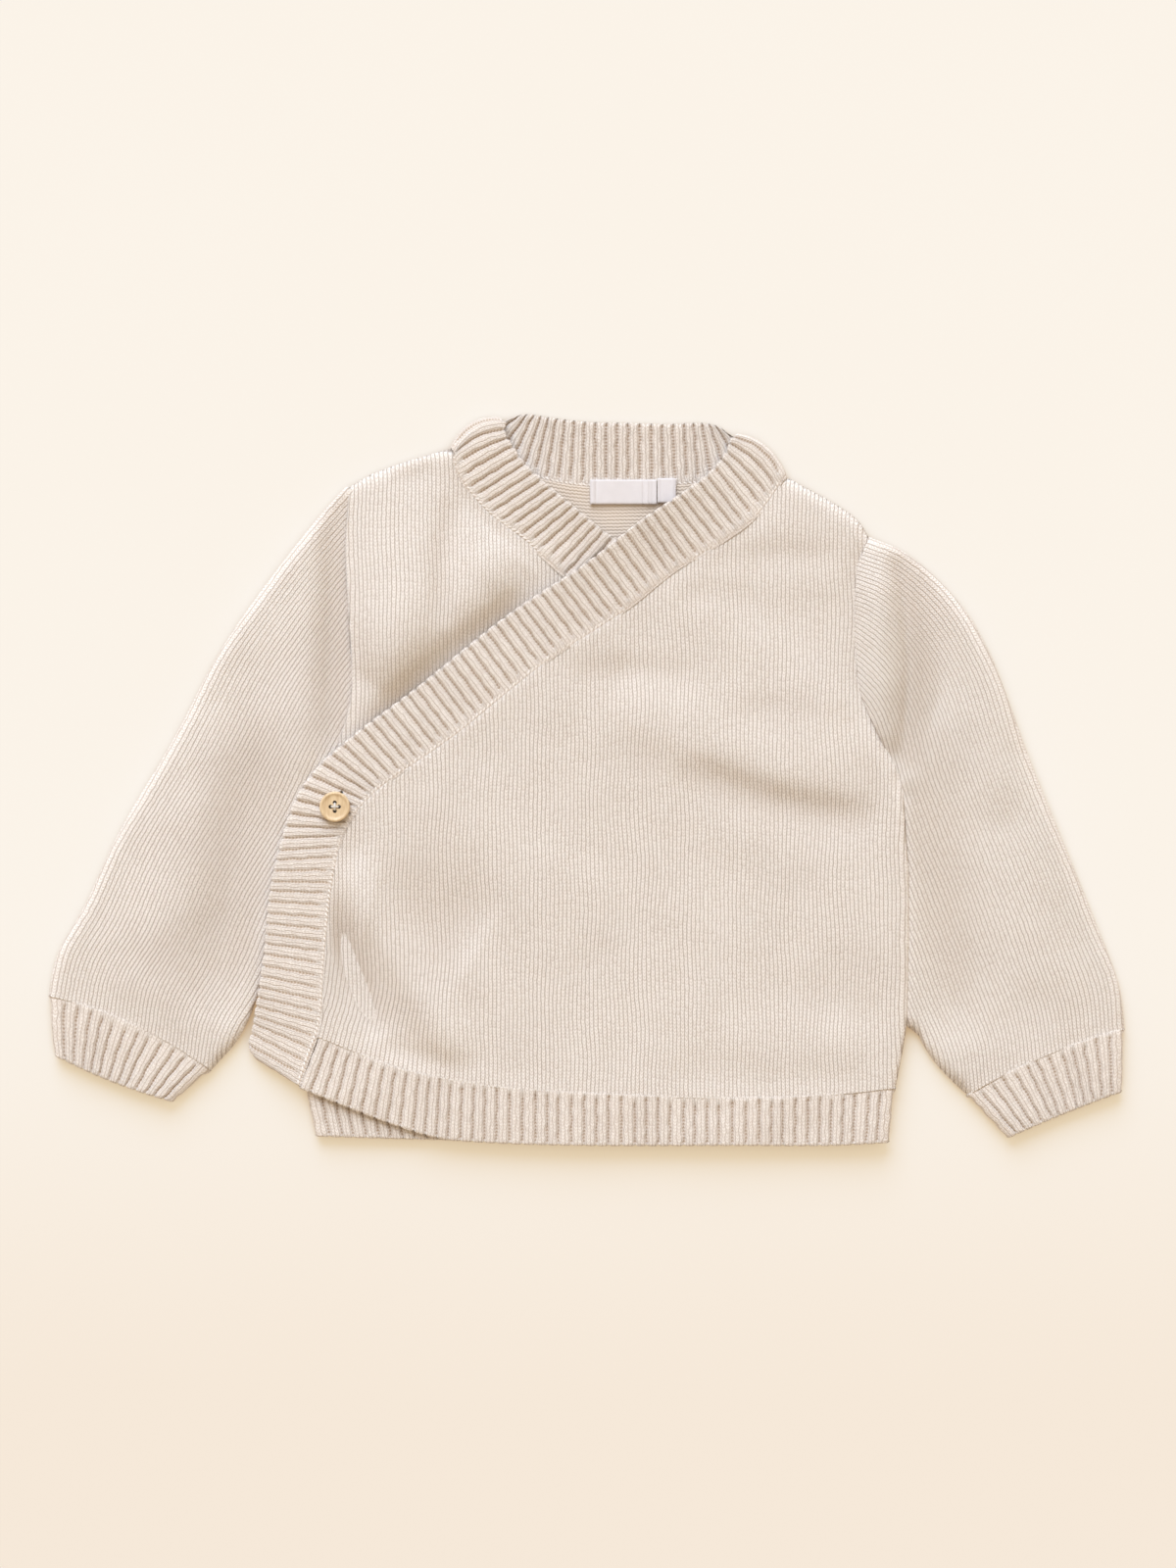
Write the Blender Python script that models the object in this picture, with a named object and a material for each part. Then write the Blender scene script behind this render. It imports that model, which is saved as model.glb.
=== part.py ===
"""A baby's knitted wrap cardigan, lying flat on its back with the right side up.

Each piece that a knitter would make is one closed solid: the cloth is a wall about a
middle surface, whose plan comes from the tables below and whose height comes from the
layers, the rolled edges and the largest folds. Left and right are the viewer's.
Tables and sizes are in millimetres, with +Y towards the neck and Z up from the floor.
"""

import math

import bmesh
import bpy
import numpy as np
from mathutils import Matrix

MM = 0.001

# ---- walls and clearances ----
KNIT = 2.2  # plain knit wall of back and fronts
SLEEVE_KNIT = 2.0
RIB = 2.6  # ribbed wall of hems, cuffs and neck band
SEAM = 0.3  # between two pieces that are linked together
ARMHOLE_GAP = 0.6  # the same beside the sleeves, whose rings cross the curve in chords
SHOULDER_GAP = 0.4  # between the two layers at the rolled shoulders and sides
GAP_FADE = 3.0  # over this distance from the edge the two layers close up again
TURN = 4.0  # how far in from a rolled edge the wall leans over

# ---- middle heights of the layers ----
BACK_LEVEL = KNIT / 2
UNDER_LEVEL = 3.9
OVER_LEVEL = 7.2
OVER_DROP = 1.6  # the over front sinks this much where nothing but the back is below it
DROP_WIDTH = 25.0
HEM_LEVELS = {"back": RIB / 2, "under": 4.4, "over": 7.5}
NECK_FRONT_LEVEL = 4.8  # band on the neck points, just above its own back stretch
NECK_BACK_LEVEL = RIB / 2
SLEEVE_TOP = 5.6
CUFF_TOP = 5.3

# ---- heights at which edges meet, and how far in the cloth starts to fall ----
SIDE_SEAM = {"left": 2.5, "right": 4.0}
SIDE_REACH = {"left": 4.0, "right": 5.5}
SHOULDER_SEAM = 2.7
SHOULDER_REACH = 5.0
TUBE_EDGE = 2.9  # outline of a sleeve, half way up its two layers
ARMHOLE_SEAM = 4.4
ARMHOLE_REACH = 8.0
ARMPIT_BLEND = 14.0  # over this length the side seam comes to the height of the sleeve's edge
FLOOR_REACH = 5.0  # how soon the lower layer of a tube is down on the floor
TUBE_REACH = 16.0  # how soon its upper layer is at full height
ARM_RISE = 14.0  # the same, from the armhole seam
FREE_EDGE = 0.55  # share of its wall that a rib keeps at its free edge

# One row for each level of the body, hem to shoulder.
SIDE_COLUMNS = ("left_x", "left_y", "right_x", "right_y")
SIDE_ROWS = {
    "rib": (-119.0, -129.0, 129.5, -130.0),
    "hip": (-118.0, -101.5, 134.0, -103.5),
    "waist": (-116.5, -73.0, 135.0, -75.0),
    "rib_cage": (-115.0, -44.0, 135.0, -42.0),
    "below_arm": (-112.0, -21.5, 133.5, -19.5),
    "armpit": (-109.0, 0.0, 132.5, -1.0),
}
ARMHOLE_ROWS = {
    "armpit": (-109.0, 0.0, 132.5, -1.0),
    "low": (-102.0, 16.5, 122.5, 18.0),
    "middle": (-97.5, 36.0, 114.0, 38.0),
    "chest": (-98.5, 62.5, 112.5, 62.5),
    "high": (-100.0, 95.5, 114.0, 89.0),
    "tip": (-99.0, 121.5, 118.5, 100.0),
}
SHOULDER_ROWS = {
    "tip": (-99.0, 121.5, 118.5, 100.0),
    "outer": (-91.5, 126.0, 113.5, 107.5),
    "middle": (-81.5, 130.0, 103.0, 115.0),
    "inner": (-69.0, 134.0, 93.0, 120.5),
    "neck": (-57.0, 137.5, 84.0, 125.5),
}

# One row for each rib station of the over front's hem: its linked edge and its free edge.
HEM_COLUMNS = ("top_x", "top_y", "free_x", "free_y")
HEM_ROWS = (
    (-111.5, -109.0, -120.0, -129.5),
    (-102.0, -113.0, -108.0, -134.5),
    (-81.5, -121.0, -85.0, -143.5),
    (-61.0, -126.0, -62.5, -150.5),
    (-40.5, -129.5, -41.0, -152.5),
    (0.5, -132.5, 0.5, -153.7),
    (62.0, -134.5, 62.0, -153.7),
    (103.0, -133.0, 102.5, -153.7),
    (129.5, -130.0, 127.5, -152.5),
)
HIDDEN_HEM_ROWS = (
    (-119.0, -129.0, -114.5, -150.0),
    (-60.0, -131.0, -58.0, -151.5),
    (40.0, -132.0, 40.0, -152.0),
    (129.5, -130.0, 127.5, -152.5),
)

UNDER_HEM_LINE = -131.5  # height in the plan where the hidden band passes the under hem

# One row for each station of the neck band, with its middle height at both edges.
BAND_COLUMNS = ("free_x", "free_y", "seam_x", "seam_y", "free_z", "seam_z")
OVER_BAND_ROWS = (
    (-141.5, -116.0, -120.0, -129.5, 3.8, 7.2),
    (-139.5, -106.5, -116.0, -118.0, 4.6, 7.3),
    (-138.0, -97.5, -111.5, -105.0, 5.6, 7.3),
    (-134.5, -75.0, -109.5, -79.0, 7.2, 7.3),
    (-132.0, -48.0, -106.5, -49.0, 7.6, 7.3),
    (-127.5, -28.5, -102.5, -27.0, 7.7, 7.3),
    (-122.0, -11.5, -97.5, -17.0, 7.7, 7.3),
    (-113.5, 2.0, -91.0, -9.5, 7.7, 7.3),
    (-100.0, 14.5, -83.0, -2.5, 7.6, 7.3),
    (-71.0, 36.5, -55.5, 16.5, 7.3, 7.3),
    (-32.0, 67.5, -17.0, 47.5, 7.3, 7.3),
    (0.5, 89.0, 16.0, 69.0, 7.3, 7.3),
    (23.0, 106.5, 37.5, 86.0, 7.2, 7.0),
    (41.5, 119.0, 58.0, 98.5, 6.6, 6.2),
    (53.0, 128.0, 69.5, 107.0, 5.8, 5.6),
    (59.0, 136.5, 77.5, 116.5, 5.1, 5.1),
)
RIGHT_FOLD = (62.0, 148.0, 84.0, 125.5)  # outline of the band's fold on the neck point
BACK_BAND_ROWS = (
    (48.0, 147.5, 52.0, 122.5, 1.3, 1.3),
    (33.5, 147.0, 34.5, 121.5, 1.3, 1.3),
    (17.0, 147.5, 17.0, 121.0, 1.3, 1.3),
    (0.5, 148.0, 0.0, 121.0, 1.3, 1.3),
    (-13.5, 149.5, -18.0, 124.0, 1.3, 1.3),
    (-23.0, 151.0, -34.0, 129.0, 1.3, 1.3),
)
LEFT_FOLD = (-34.0, 154.4, -57.0, 138.5)
UNDER_BAND_ROWS = (
    (-34.0, 143.5, -56.0, 132.0, 4.8, 4.8),
    (-31.0, 137.5, -53.0, 124.5, 4.7, 4.6),
    (-27.0, 131.5, -48.5, 118.0, 4.6, 4.5),
    (-19.0, 123.5, -40.5, 109.5, 4.4, 4.4),
    (-7.5, 114.0, -26.5, 99.0, 4.3, 4.3),
    (6.5, 102.5, -10.0, 84.0, 4.2, 4.2),
    (41.5, 77.5, 26.0, 57.5, 4.2, 4.2),
    (78.5, 51.0, 63.0, 31.5, 4.2, 4.2),
    (102.5, 33.0, 84.5, 14.5, 4.2, 4.2),
    (116.5, 12.5, 94.5, 0.0, 4.2, 4.2),
    (123.0, -15.5, 98.5, -20.5, 4.2, 4.2),
    (124.5, -64.5, 99.5, -64.5, 4.2, 4.2),
    (122.5, -151.0, 98.5, -151.0, 4.3, 4.3),
)

# One row for each station of a sleeve, armhole to cuff: its outer and inner outline.
TUBE_COLUMNS = ("outer_x", "outer_y", "inner_x", "inner_y")
SLEEVES = {
    "left": (
        (-100.3, 122.0, -110.5, -1.5),
        (-112.0, 109.0, -113.5, -10.0),
        (-132.5, 83.0, -117.0, -22.0),
        (-153.0, 53.5, -121.0, -37.0),
        (-173.5, 15.0, -126.5, -55.0),
        (-196.0, -23.5, -132.0, -75.0),
        (-210.5, -54.5, -138.5, -94.5),
        (-222.0, -75.0, -145.5, -109.5),
        (-225.5, -91.5, -157.0, -123.0),
    ),
    "right": (
        (118.5, 100.5, 134.5, -2.5),
        (134.0, 93.5, 135.5, -9.0),
        (154.5, 75.0, 136.5, -23.5),
        (168.5, 52.5, 136.8, -40.0),
        (185.0, 9.0, 136.8, -62.5),
        (201.5, -32.0, 136.5, -87.0),
        (214.5, -64.5, 139.5, -109.0),
        (223.0, -87.0, 148.5, -123.0),
        (225.5, -105.5, 159.5, -133.5),
    ),
}
CUFF_SEAM_BOW = {"left": 3.7, "right": 2.5}  # the seam bows up the sleeve
CUFF_END_BOW = {"left": -1.4, "right": 0.5}
CUFFS = {
    "left": (
        (-225.5, -92.0, -157.5, -123.5),
        (-225.0, -105.0, -165.0, -130.0),
        (-223.5, -116.5, -172.5, -136.5),
    ),
    "right": (
        (225.5, -106.0, 159.0, -134.0),
        (225.5, -118.5, 167.0, -142.5),
        (225.0, -131.5, 175.5, -151.5),
    ),
}

# One row for each large fold: a soft ridge, or a trough where its height is below zero.
FOLD_COLUMNS = ("start_x", "start_y", "end_x", "end_y", "bow", "width", "height")
FOLDS = {
    "under_front": {
        "roll over the armhole": (-89.0, 116.0, -87.0, 30.0, 2.0, 9.0, 3.0),
        "puff of the chest": (-69.0, 118.0, -74.0, 58.0, 4.0, 12.0, 3.2),
        "puff beside the band": (-50.0, 104.0, -48.0, 86.0, 0.0, 9.0, 2.6),
    },
    "over_front": {
        "fold below the button": (-100.0, -30.0, -62.0, -106.0, 7.0, 7.0, 2.6),
        "second fold": (-84.0, -24.0, -44.0, -84.0, 5.0, 9.0, 1.2),
        "roll across the belly": (22.0, 14.0, 116.0, -10.0, -9.0, 9.0, 2.2),
        "crease below the collar": (58.0, 98.0, 104.0, 98.0, 0.0, 5.0, 1.2),
    },
    "sleeve_left": {
        "trough along the body": (-109.0, 100.0, -110.0, 24.0, 3.0, 5.0, -0.8),
    },
    "sleeve_right": {
        "ridge of the cap": (120.5, 84.0, 122.0, 36.0, 2.0, 4.0, 2.4),
        "trough beside the ridge": (128.0, 82.0, 131.0, 20.0, -5.0, 5.5, -1.4),
    },
}

# ---- button, its thread and the labels ----
BUTTON_AT = (-105.2, -12.6)
BUTTON_DIAMETER = 12.7
BUTTON_THICK = 2.4
BUTTON_RIM = 1.5
BUTTON_DISH = 0.6
HOLE_DIAMETER = 1.7
HOLE_OFFSET = 1.75
THREAD = 0.9
SHANK = 1.8
BUTTONHOLE = ((-3.4, 0.0), (-2.4, 1.7), (0.0, 2.7), (2.6, 1.9), (7.2, 0.3))  # away, half width
BUTTONHOLE_ANGLE = math.radians(65)
BUTTONHOLE_DEPTH = (3.0, 12.0)
LABEL = {"left": 1.5, "right": 29.3, "top": 124.0, "low": 114.2, "thick": 1.0}
SIZE_TAB = {"left": 29.7, "right": 37.4, "top": 124.6, "low": 114.8, "thick": 1.2}
LABEL_WAVE = 0.25  # the label's cloth rises and falls this much about its middle
LABEL_WAVE_TURN = 0.22  # radians to a millimetre

# ---- how finely each piece is divided ----
EDGE_STEPS = (0.134, 0.5, 1.0)  # of the reach of a rolled edge
BACK_ROWS = 18
SLEEVE_RINGS = 12
UNDERARM = 3  # points of the armhole, counted from the armpit, along a sleeve's inner edge
CUFF_RINGS = 4
HEM_STEPS = (0.0, 0.06, 0.5, 1.0)  # shares of a hem from its free edge up
BAND_ACROSS = (0.0, 0.06, 0.5, 1.0)  # shares of the neck band from its free edge
TUBE_SIDES = 20
BAND_STEP = 13.0
BEND_BASE = 0.03  # how evenly points are spread on a line, against how much it bends
FOLD_TURNS = 4
FOLD_CLEAR = 0.8  # the back passes this far below the ends of the band's folds

SHARP_ANGLE = math.radians(40)

CREAM = (0.80, 0.70, 0.59, 1)
WOOD = (0.62, 0.44, 0.26, 1)
WHITE = (0.87, 0.83, 0.83, 1)


# ---------------------------------------------------------------- curves in plan


def curve(rows, steps=8):
    """A smooth line through the rows, with any further columns carried along."""
    rows = np.asarray(rows, float)
    gaps = np.sqrt(np.linalg.norm(np.diff(rows[:, :2], axis=0), axis=1))[:, None]
    slopes = np.diff(rows, axis=0) / gaps
    tangents = np.vstack([
        slopes[:1],
        (slopes[:-1] * gaps[1:] + slopes[1:] * gaps[:-1]) / (gaps[1:] + gaps[:-1]),
        slopes[-1:],
    ])
    t = np.linspace(0, 1, steps, endpoint=False)[:, None]
    pieces = []
    for k, gap in enumerate(gaps):
        start, end = rows[k], rows[k + 1]
        leave, arrive = tangents[k] * gap, tangents[k + 1] * gap
        pieces.append(
            (2 * t**3 - 3 * t**2 + 1) * start
            + (t**3 - 2 * t**2 + t) * leave
            + (3 * t**2 - 2 * t**3) * end
            + (t**3 - t**2) * arrive
        )
    return np.vstack([*pieces, rows[-1:]])


def lengths(line):
    """The length from the line's start to each of its points, in plan."""
    steps = np.linalg.norm(np.diff(line[:, :2], axis=0), axis=1)
    return np.concatenate([[0], np.cumsum(steps)])


def along(line, shares):
    """The line's points at these shares of its length."""
    reach = lengths(line)
    wanted = np.asarray(shares) * reach[-1]
    return np.column_stack([np.interp(wanted, reach, line[:, k]) for k in range(line.shape[1])])


def sideways(line, side):
    """Unit normals of a line in plan: side 1 is right of its course, -1 is left."""
    course = np.gradient(line[:, :2], axis=0)
    course /= np.linalg.norm(course, axis=1)[:, None]
    return side * np.column_stack([course[:, 1], -course[:, 0]])


def inset(line, amount, side):
    """The line moved in from its outer side."""
    moved = line.copy()
    moved[:, :2] -= amount * sideways(line, side)
    return moved


def column(rows, side):
    """One side's x and y out of a table of left and right points."""
    rows = list(rows.values())
    first = 0 if side == "left" else 2
    return np.array([row[first:first + 2] for row in rows])


def chord(start, end, bow, steps=24):
    """A line from start to end that bows out by this much, to the left of its course."""
    start, end = np.asarray(start, float), np.asarray(end, float)
    course = end - start
    normal = np.array([-course[1], course[0]]) / np.linalg.norm(course)
    t = np.linspace(0, 1, steps)[:, None]
    return start + course * t + normal * bow * 4 * t * (1 - t)


def patch(bottom, top, left, right):
    """A grid of plan points spanned between four rows of points (a Coons patch)."""
    across = (length_shares(bottom) + length_shares(top)) / 2
    up = (length_shares(left) + length_shares(right)) / 2
    u, v = across[None, :, None], up[:, None, None]
    corners = (
        (1 - u) * (1 - v) * bottom[0] + u * (1 - v) * bottom[-1]
        + (1 - u) * v * top[0] + u * v * top[-1]
    )
    sides = (1 - u) * left[:, None] + u * right[:, None]
    return (1 - v) * bottom[None] + v * top[None] + sides - corners


def length_shares(points):
    reach = lengths(points)
    return reach / reach[-1]


def roll_shares(length, count, first_reach=0.0, last_reach=0.0):
    """Even shares of a length, with extra ones where an edge rolls at either end."""
    start = [step * first_reach / length for step in EDGE_STEPS if first_reach]
    end = [1 - step * last_reach / length for step in EDGE_STEPS if last_reach]
    inner = np.linspace(start[-1] if start else 0, end[-1] if end else 1, count)
    return np.unique(np.round(np.concatenate([[0], start, inner, end, [1]]), 6))


def bend_shares(line, count):
    """Shares of a line's length that lie closer together where it bends."""
    steps = np.diff(line[:, :2], axis=0)
    spans = np.linalg.norm(steps, axis=1)
    turns = np.abs(np.diff(np.unwrap(np.arctan2(steps[:, 1], steps[:, 0]))))
    turns = np.concatenate([turns[:1], (turns[1:] + turns[:-1]) / 2, turns[-1:]])
    weight = np.concatenate([[0], np.cumsum(np.sqrt(turns * spans) + BEND_BASE * spans)])
    reach = lengths(line)
    wanted = np.linspace(0, weight[-1], count)
    return np.interp(wanted, weight, reach) / reach[-1]


def pulled(grid, edge, amount):
    """The grid with one edge row drawn in towards the next row, square to the edge."""
    grid = grid.copy()
    rows = {"bottom": (grid[0], grid[1]), "top": (grid[-1], grid[-2]),
            "left": (grid[:, 0], grid[:, 1]), "right": (grid[:, -1], grid[:, -2])}
    outer, inner = rows[edge]
    course = np.gradient(outer[:, :2], axis=0)
    course /= np.linalg.norm(course, axis=1)[:, None]
    step = inner[:, :2] - outer[:, :2]
    step /= np.linalg.norm(step, axis=1)[:, None]
    square = np.abs(course[:, 0] * step[:, 1] - course[:, 1] * step[:, 0])
    outer[:, :2] += step * (amount / np.maximum(square, 0.35))[:, None]
    return grid


# ---------------------------------------------------------------- heights


def nearest(points, line):
    """Each point's distance to the line, and the index along it, with its fraction."""
    start, course = line[:-1, :2], np.diff(line[:, :2], axis=0)
    to = points[..., None, :2] - start
    t = np.clip((to * course).sum(-1) / (course**2).sum(-1), 0, 1)
    gap = np.linalg.norm(to - t[..., None] * course, axis=-1)
    best = gap.argmin(-1)
    pick = best[..., None]
    return (
        np.take_along_axis(gap, pick, -1)[..., 0],
        best + np.take_along_axis(t, pick, -1)[..., 0],
    )


def rounded(share):
    """A quarter round that rises steeply from an edge: 0 at it, 1 from its reach on."""
    return np.sqrt(1 - (1 - np.clip(share, 0, 1)) ** 2)


def softened(share):
    """A gentle rise from an edge: 0 at it, 1 from its reach on."""
    return np.sin(np.clip(share, 0, 1) * math.pi / 2)


def smooth_step(share):
    share = np.clip(share, 0, 1)
    return share * share * (3 - 2 * share)


def fold_relief(points, folds):
    """The height that the named folds add at each point."""
    total = np.zeros(points.shape[:-1])
    for start_x, start_y, end_x, end_y, bow, width, height in folds.values():
        line = chord((start_x, start_y), (end_x, end_y), bow, steps=14)
        gap, at = nearest(points, line)
        fade = 1 - np.abs(2 * at / (len(line) - 1) - 1) ** 3
        total += height * fade * np.exp(-((gap / width) ** 2))
    return total


def armhole_height(arc, length, level):
    """Height of the seam round an armhole, which meets the tube's edge at both ends."""
    reach = ARMHOLE_REACH if level > TUBE_EDGE else FLOOR_REACH
    return TUBE_EDGE + (level - TUBE_EDGE) * rounded(np.minimum(arc, length - arc) / reach)


def seam_line(line, side, seam, reach, turn):
    """A boundary with columns x, y, out_x, out_y, seam height, reach and turn.

    Turn is 1 where the cloth rolls right over at the edge and 0 where it only dips.
    """
    count = len(line)
    return np.column_stack([
        line[:, :2], sideways(line, side),
        *(np.broadcast_to(value, count) for value in (seam, reach, turn)),
    ])


def body_edge(side, level):
    """The seam line of a panel from hem to neck: side seam, armhole and shoulder."""
    hand = 1 if side == "right" else -1
    low = curve(column(SIDE_ROWS, side))
    arm = curve(column(ARMHOLE_ROWS, side))
    arc = lengths(arm)
    side_arc = lengths(low)
    top = curve(column(SHOULDER_ROWS, side))
    from_armpit = smooth_step((side_arc[-1] - side_arc) / ARMPIT_BLEND)
    return [
        seam_line(low, hand, TUBE_EDGE + (SIDE_SEAM[side] - TUBE_EDGE) * from_armpit,
                  SIDE_REACH[side], 1),
        seam_line(arm, hand, armhole_height(arc, arc[-1], level), ARMHOLE_REACH, 0),
        seam_line(top, hand, SHOULDER_SEAM, SHOULDER_REACH, 1),
    ]


def settle(plan, level, seams, face=1):
    """Middle points and outward directions of a panel whose level falls to its seams."""
    height = np.broadcast_to(level, plan.shape[:-1]).copy()
    lean = np.zeros(plan.shape[:-1] + (2,))
    for seam in seams:
        gap, at = nearest(plan, seam)
        places = np.arange(len(seam))
        out_x, out_y, low, reach, turn = (np.interp(at, places, seam[:, k]) for k in range(2, 7))
        fall = turn * rounded(gap / reach) + (1 - turn) * softened(gap / reach)
        height = low + (height - low) * fall
        amount = turn * np.clip(1 - gap / np.minimum(reach, TURN), 0, 1)
        stronger = amount > np.linalg.norm(lean, axis=-1)
        lean[stronger] = (amount[..., None] * np.stack([out_x, out_y], -1))[stronger]
    upright = face * np.sqrt(np.maximum(1 - (lean**2).sum(-1), 0))
    return np.dstack([plan, height]), np.dstack([lean, upright])


# ---------------------------------------------------------------- solids


def material(name, color, roughness):
    made = bpy.data.materials.new(name)
    made.use_nodes = True
    shader = made.node_tree.nodes["Principled BSDF"]
    shader.inputs["Base Color"].default_value = color
    shader.inputs["Roughness"].default_value = roughness
    return made


def add_object(name, mesh_data, finish):
    """A named object from a bmesh, in metres, with its faces pointing outwards."""
    bmesh.ops.recalc_face_normals(mesh_data, faces=mesh_data.faces)
    bmesh.ops.scale(mesh_data, vec=(MM, MM, MM), verts=mesh_data.verts)
    mesh = bpy.data.meshes.new(name)
    mesh_data.to_mesh(mesh)
    mesh_data.free()
    mesh.materials.append(finish)
    mesh.shade_smooth()
    mesh.set_sharp_from_angle(angle=SHARP_ANGLE)
    made = bpy.data.objects.new(name, mesh)
    bpy.context.scene.collection.objects.link(made)
    return made


def cloth(name, middle, outward, wall, finish, tube=False):
    """A wall of cloth about a grid of middle points; a tube's columns close on themselves."""
    wall = np.broadcast_to(wall, middle.shape[:2])[..., None]
    outer, inner = middle + outward * wall / 2, middle - outward * wall / 2
    rows, columns = middle.shape[:2]
    solid = bmesh.new()
    skins = [[[solid.verts.new(point) for point in row] for row in skin] for skin in (outer, inner)]
    last = columns if tube else columns - 1
    for skin in skins:
        for r in range(rows - 1):
            for c in range(last):
                d = (c + 1) % columns
                solid.faces.new((skin[r][c], skin[r][d], skin[r + 1][d], skin[r + 1][c]))
    rims = [[(r, c) for c in range(columns)] for r in (0, rows - 1)]
    if not tube:
        rims += [[(r, c) for r in range(rows)] for c in (0, columns - 1)]
    for rim in rims:
        ends = list(zip(rim, rim[1:] + (rim[:1] if tube else [])))
        for (r, c), (s, d) in ends:
            solid.faces.new((skins[0][r][c], skins[0][s][d], skins[1][s][d], skins[1][r][c]))
    return add_object(name, solid, finish)


def body_side(side, rows):
    """Points of a panel's side from hem to shoulder tip, and its line along the shoulder.

    The rolled stretches are set in by half the wall. The armhole has the sleeve's points.
    """
    hand = 1 if side == "right" else -1
    low = inset(curve(column(SIDE_ROWS, side)), KNIT / 2, hand)
    top = inset(curve(column(SHOULDER_ROWS, side)), KNIT / 2, hand)
    up_arm = along(armhole(side)[::-1], 1 - ring_shares()[::-1])
    up_side = along(low, np.linspace(0, 1, rows + 1 - len(up_arm)))
    return np.vstack([up_side, up_arm[1:]]), top


def armhole(side):
    """The armhole from shoulder tip to armpit, between the points where panels are rolled."""
    hand = 1 if side == "right" else -1
    rows = column(ARMHOLE_ROWS, side)[::-1]
    rows[0] = inset(curve(column(SHOULDER_ROWS, side)), KNIT / 2, hand)[0]
    rows[-1] = inset(curve(column(SIDE_ROWS, side)), KNIT / 2, hand)[-1]
    return curve(rows)


def make_back(finish):
    left, left_top = body_side("left", BACK_ROWS)
    right, right_top = body_side("right", BACK_ROWS)
    rings = band_rings()
    seam = band_seam([rings["right_fold"][-1], *rings["back"], rings["left_fold"][0]])
    seam[[0, -1]] -= (0, FOLD_CLEAR)
    neck = np.vstack([left_top[-1:], seam[::-1], right_top[-1:]])
    tops = []
    for line, side in ((left_top, "left"), (right_top, "right")):
        reach = lengths(line)[-1]
        tops.append(along(line, roll_shares(reach, 3, SIDE_REACH[side])))
    top = np.vstack([tops[0], neck[1:-1], tops[1][::-1]])
    bottom = curve([left[0], (0.0, -132.0), right[0]])
    grid = patch(along(bottom, length_shares(top)), top, left, right)
    grid = pulled(pulled(grid, "bottom", SEAM / 2), "top", SEAM / 2)
    seams = [*body_edge("left", BACK_LEVEL), *body_edge("right", BACK_LEVEL)]
    middle, outward = settle(grid, BACK_LEVEL, inward(seams, KNIT), face=-1)
    return cloth("back", lowered(middle, seams, -SHOULDER_GAP / 2), outward, KNIT, finish)


def inward(seams, wall):
    """Seam lines moved in by half the wall where the cloth rolls, as the panel's plan is."""
    moved = []
    for seam in seams:
        seam = seam.copy()
        seam[:, :2] -= seam[:, 2:4] * (wall / 2) * seam[:, 6:7]
        moved.append(seam)
    return moved


def lowered(middle, seams, amount):
    """Middle points moved up or down next to the rolled seams, where two panels meet."""
    middle = middle.copy()
    for seam in seams:
        if seam[0, 6]:
            gap, _ = nearest(middle, seam)
            middle[..., 2] += amount * np.clip(1 - (gap - KNIT / 2) / GAP_FADE, 0, 1)
    return middle


def make_under_front(finish):
    rings = band_rings()
    neck_edge = band_seam([rings["left_fold"][-1], *rings["under"]])[::-1]
    corner = (UNDER_BAND_ROWS[-1][2] + 0.5, UNDER_HEM_LINE)
    right = np.vstack([[corner], neck_edge[neck_edge[:, 1] > UNDER_HEM_LINE + 3]])
    left, top = body_side("left", len(right) + 1)
    right = np.vstack([right, top[-1:]])
    bottom = curve([left[0], (-20.0, -131.0), right[0]])
    across = roll_shares(210, 10, SIDE_REACH["left"])
    grid = patch(along(bottom, across), along(top, across), left, right)
    for edge in ("bottom", "right"):
        grid = pulled(grid, edge, SEAM / 2)
    band_gap, _ = nearest(grid, neck_edge)
    folds = fold_relief(grid, FOLDS["under_front"])
    level = UNDER_LEVEL + np.maximum(folds, 0) * smooth_step(band_gap / 8)
    seams = body_edge("left", ARMHOLE_SEAM)
    middle, outward = settle(grid, level, inward(seams, KNIT))
    return cloth("under_front", lowered(middle, seams, SHOULDER_GAP / 2), outward, KNIT, finish)


def beyond_under_band(points):
    """How far each point lies up and right of the under band's free edge."""
    start, end = np.array(UNDER_BAND_ROWS[5][:2]), np.array(UNDER_BAND_ROWS[9][:2])
    course = (end - start) / np.linalg.norm(end - start)
    to = points[..., :2] - start
    return to[..., 1] * course[0] - to[..., 0] * course[1]


def over_level(points):
    """Middle height of the over front: lower where only the back is below it."""
    drop = smooth_step(beyond_under_band(points) / DROP_WIDTH)
    return OVER_LEVEL - OVER_DROP * drop + fold_relief(points, FOLDS["over_front"])


def make_over_front(finish):
    rings = band_rings()
    neck_edge = band_seam([*rings["over"], rings["right_fold"][0]])
    corner = HEM_ROWS[0][:2]
    left = np.vstack([[corner], neck_edge[neck_edge[:, 1] > corner[1] + 3]])
    right, top = body_side("right", len(left) + 1)
    left = np.vstack([left, top[-1:]])
    hem_rows = np.array([row[:2] for row in HEM_ROWS])
    hem_rows[0], hem_rows[-1] = left[0], right[0]
    across = hem_shares()
    grid = patch(along(curve(hem_rows), across), along(top[::-1], across), left, right)
    for edge in ("bottom", "left"):
        grid = pulled(grid, edge, SEAM / 2)
    seams = body_edge("right", ARMHOLE_SEAM)
    middle, outward = settle(grid, over_level(grid), inward(seams, KNIT))
    return cloth("over_front", lowered(middle, seams, SHOULDER_GAP / 2), outward, KNIT, finish)


def hem_shares():
    """Columns that the over front shares with its hem."""
    return roll_shares(245, 17, 0, SIDE_REACH["right"])


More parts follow.
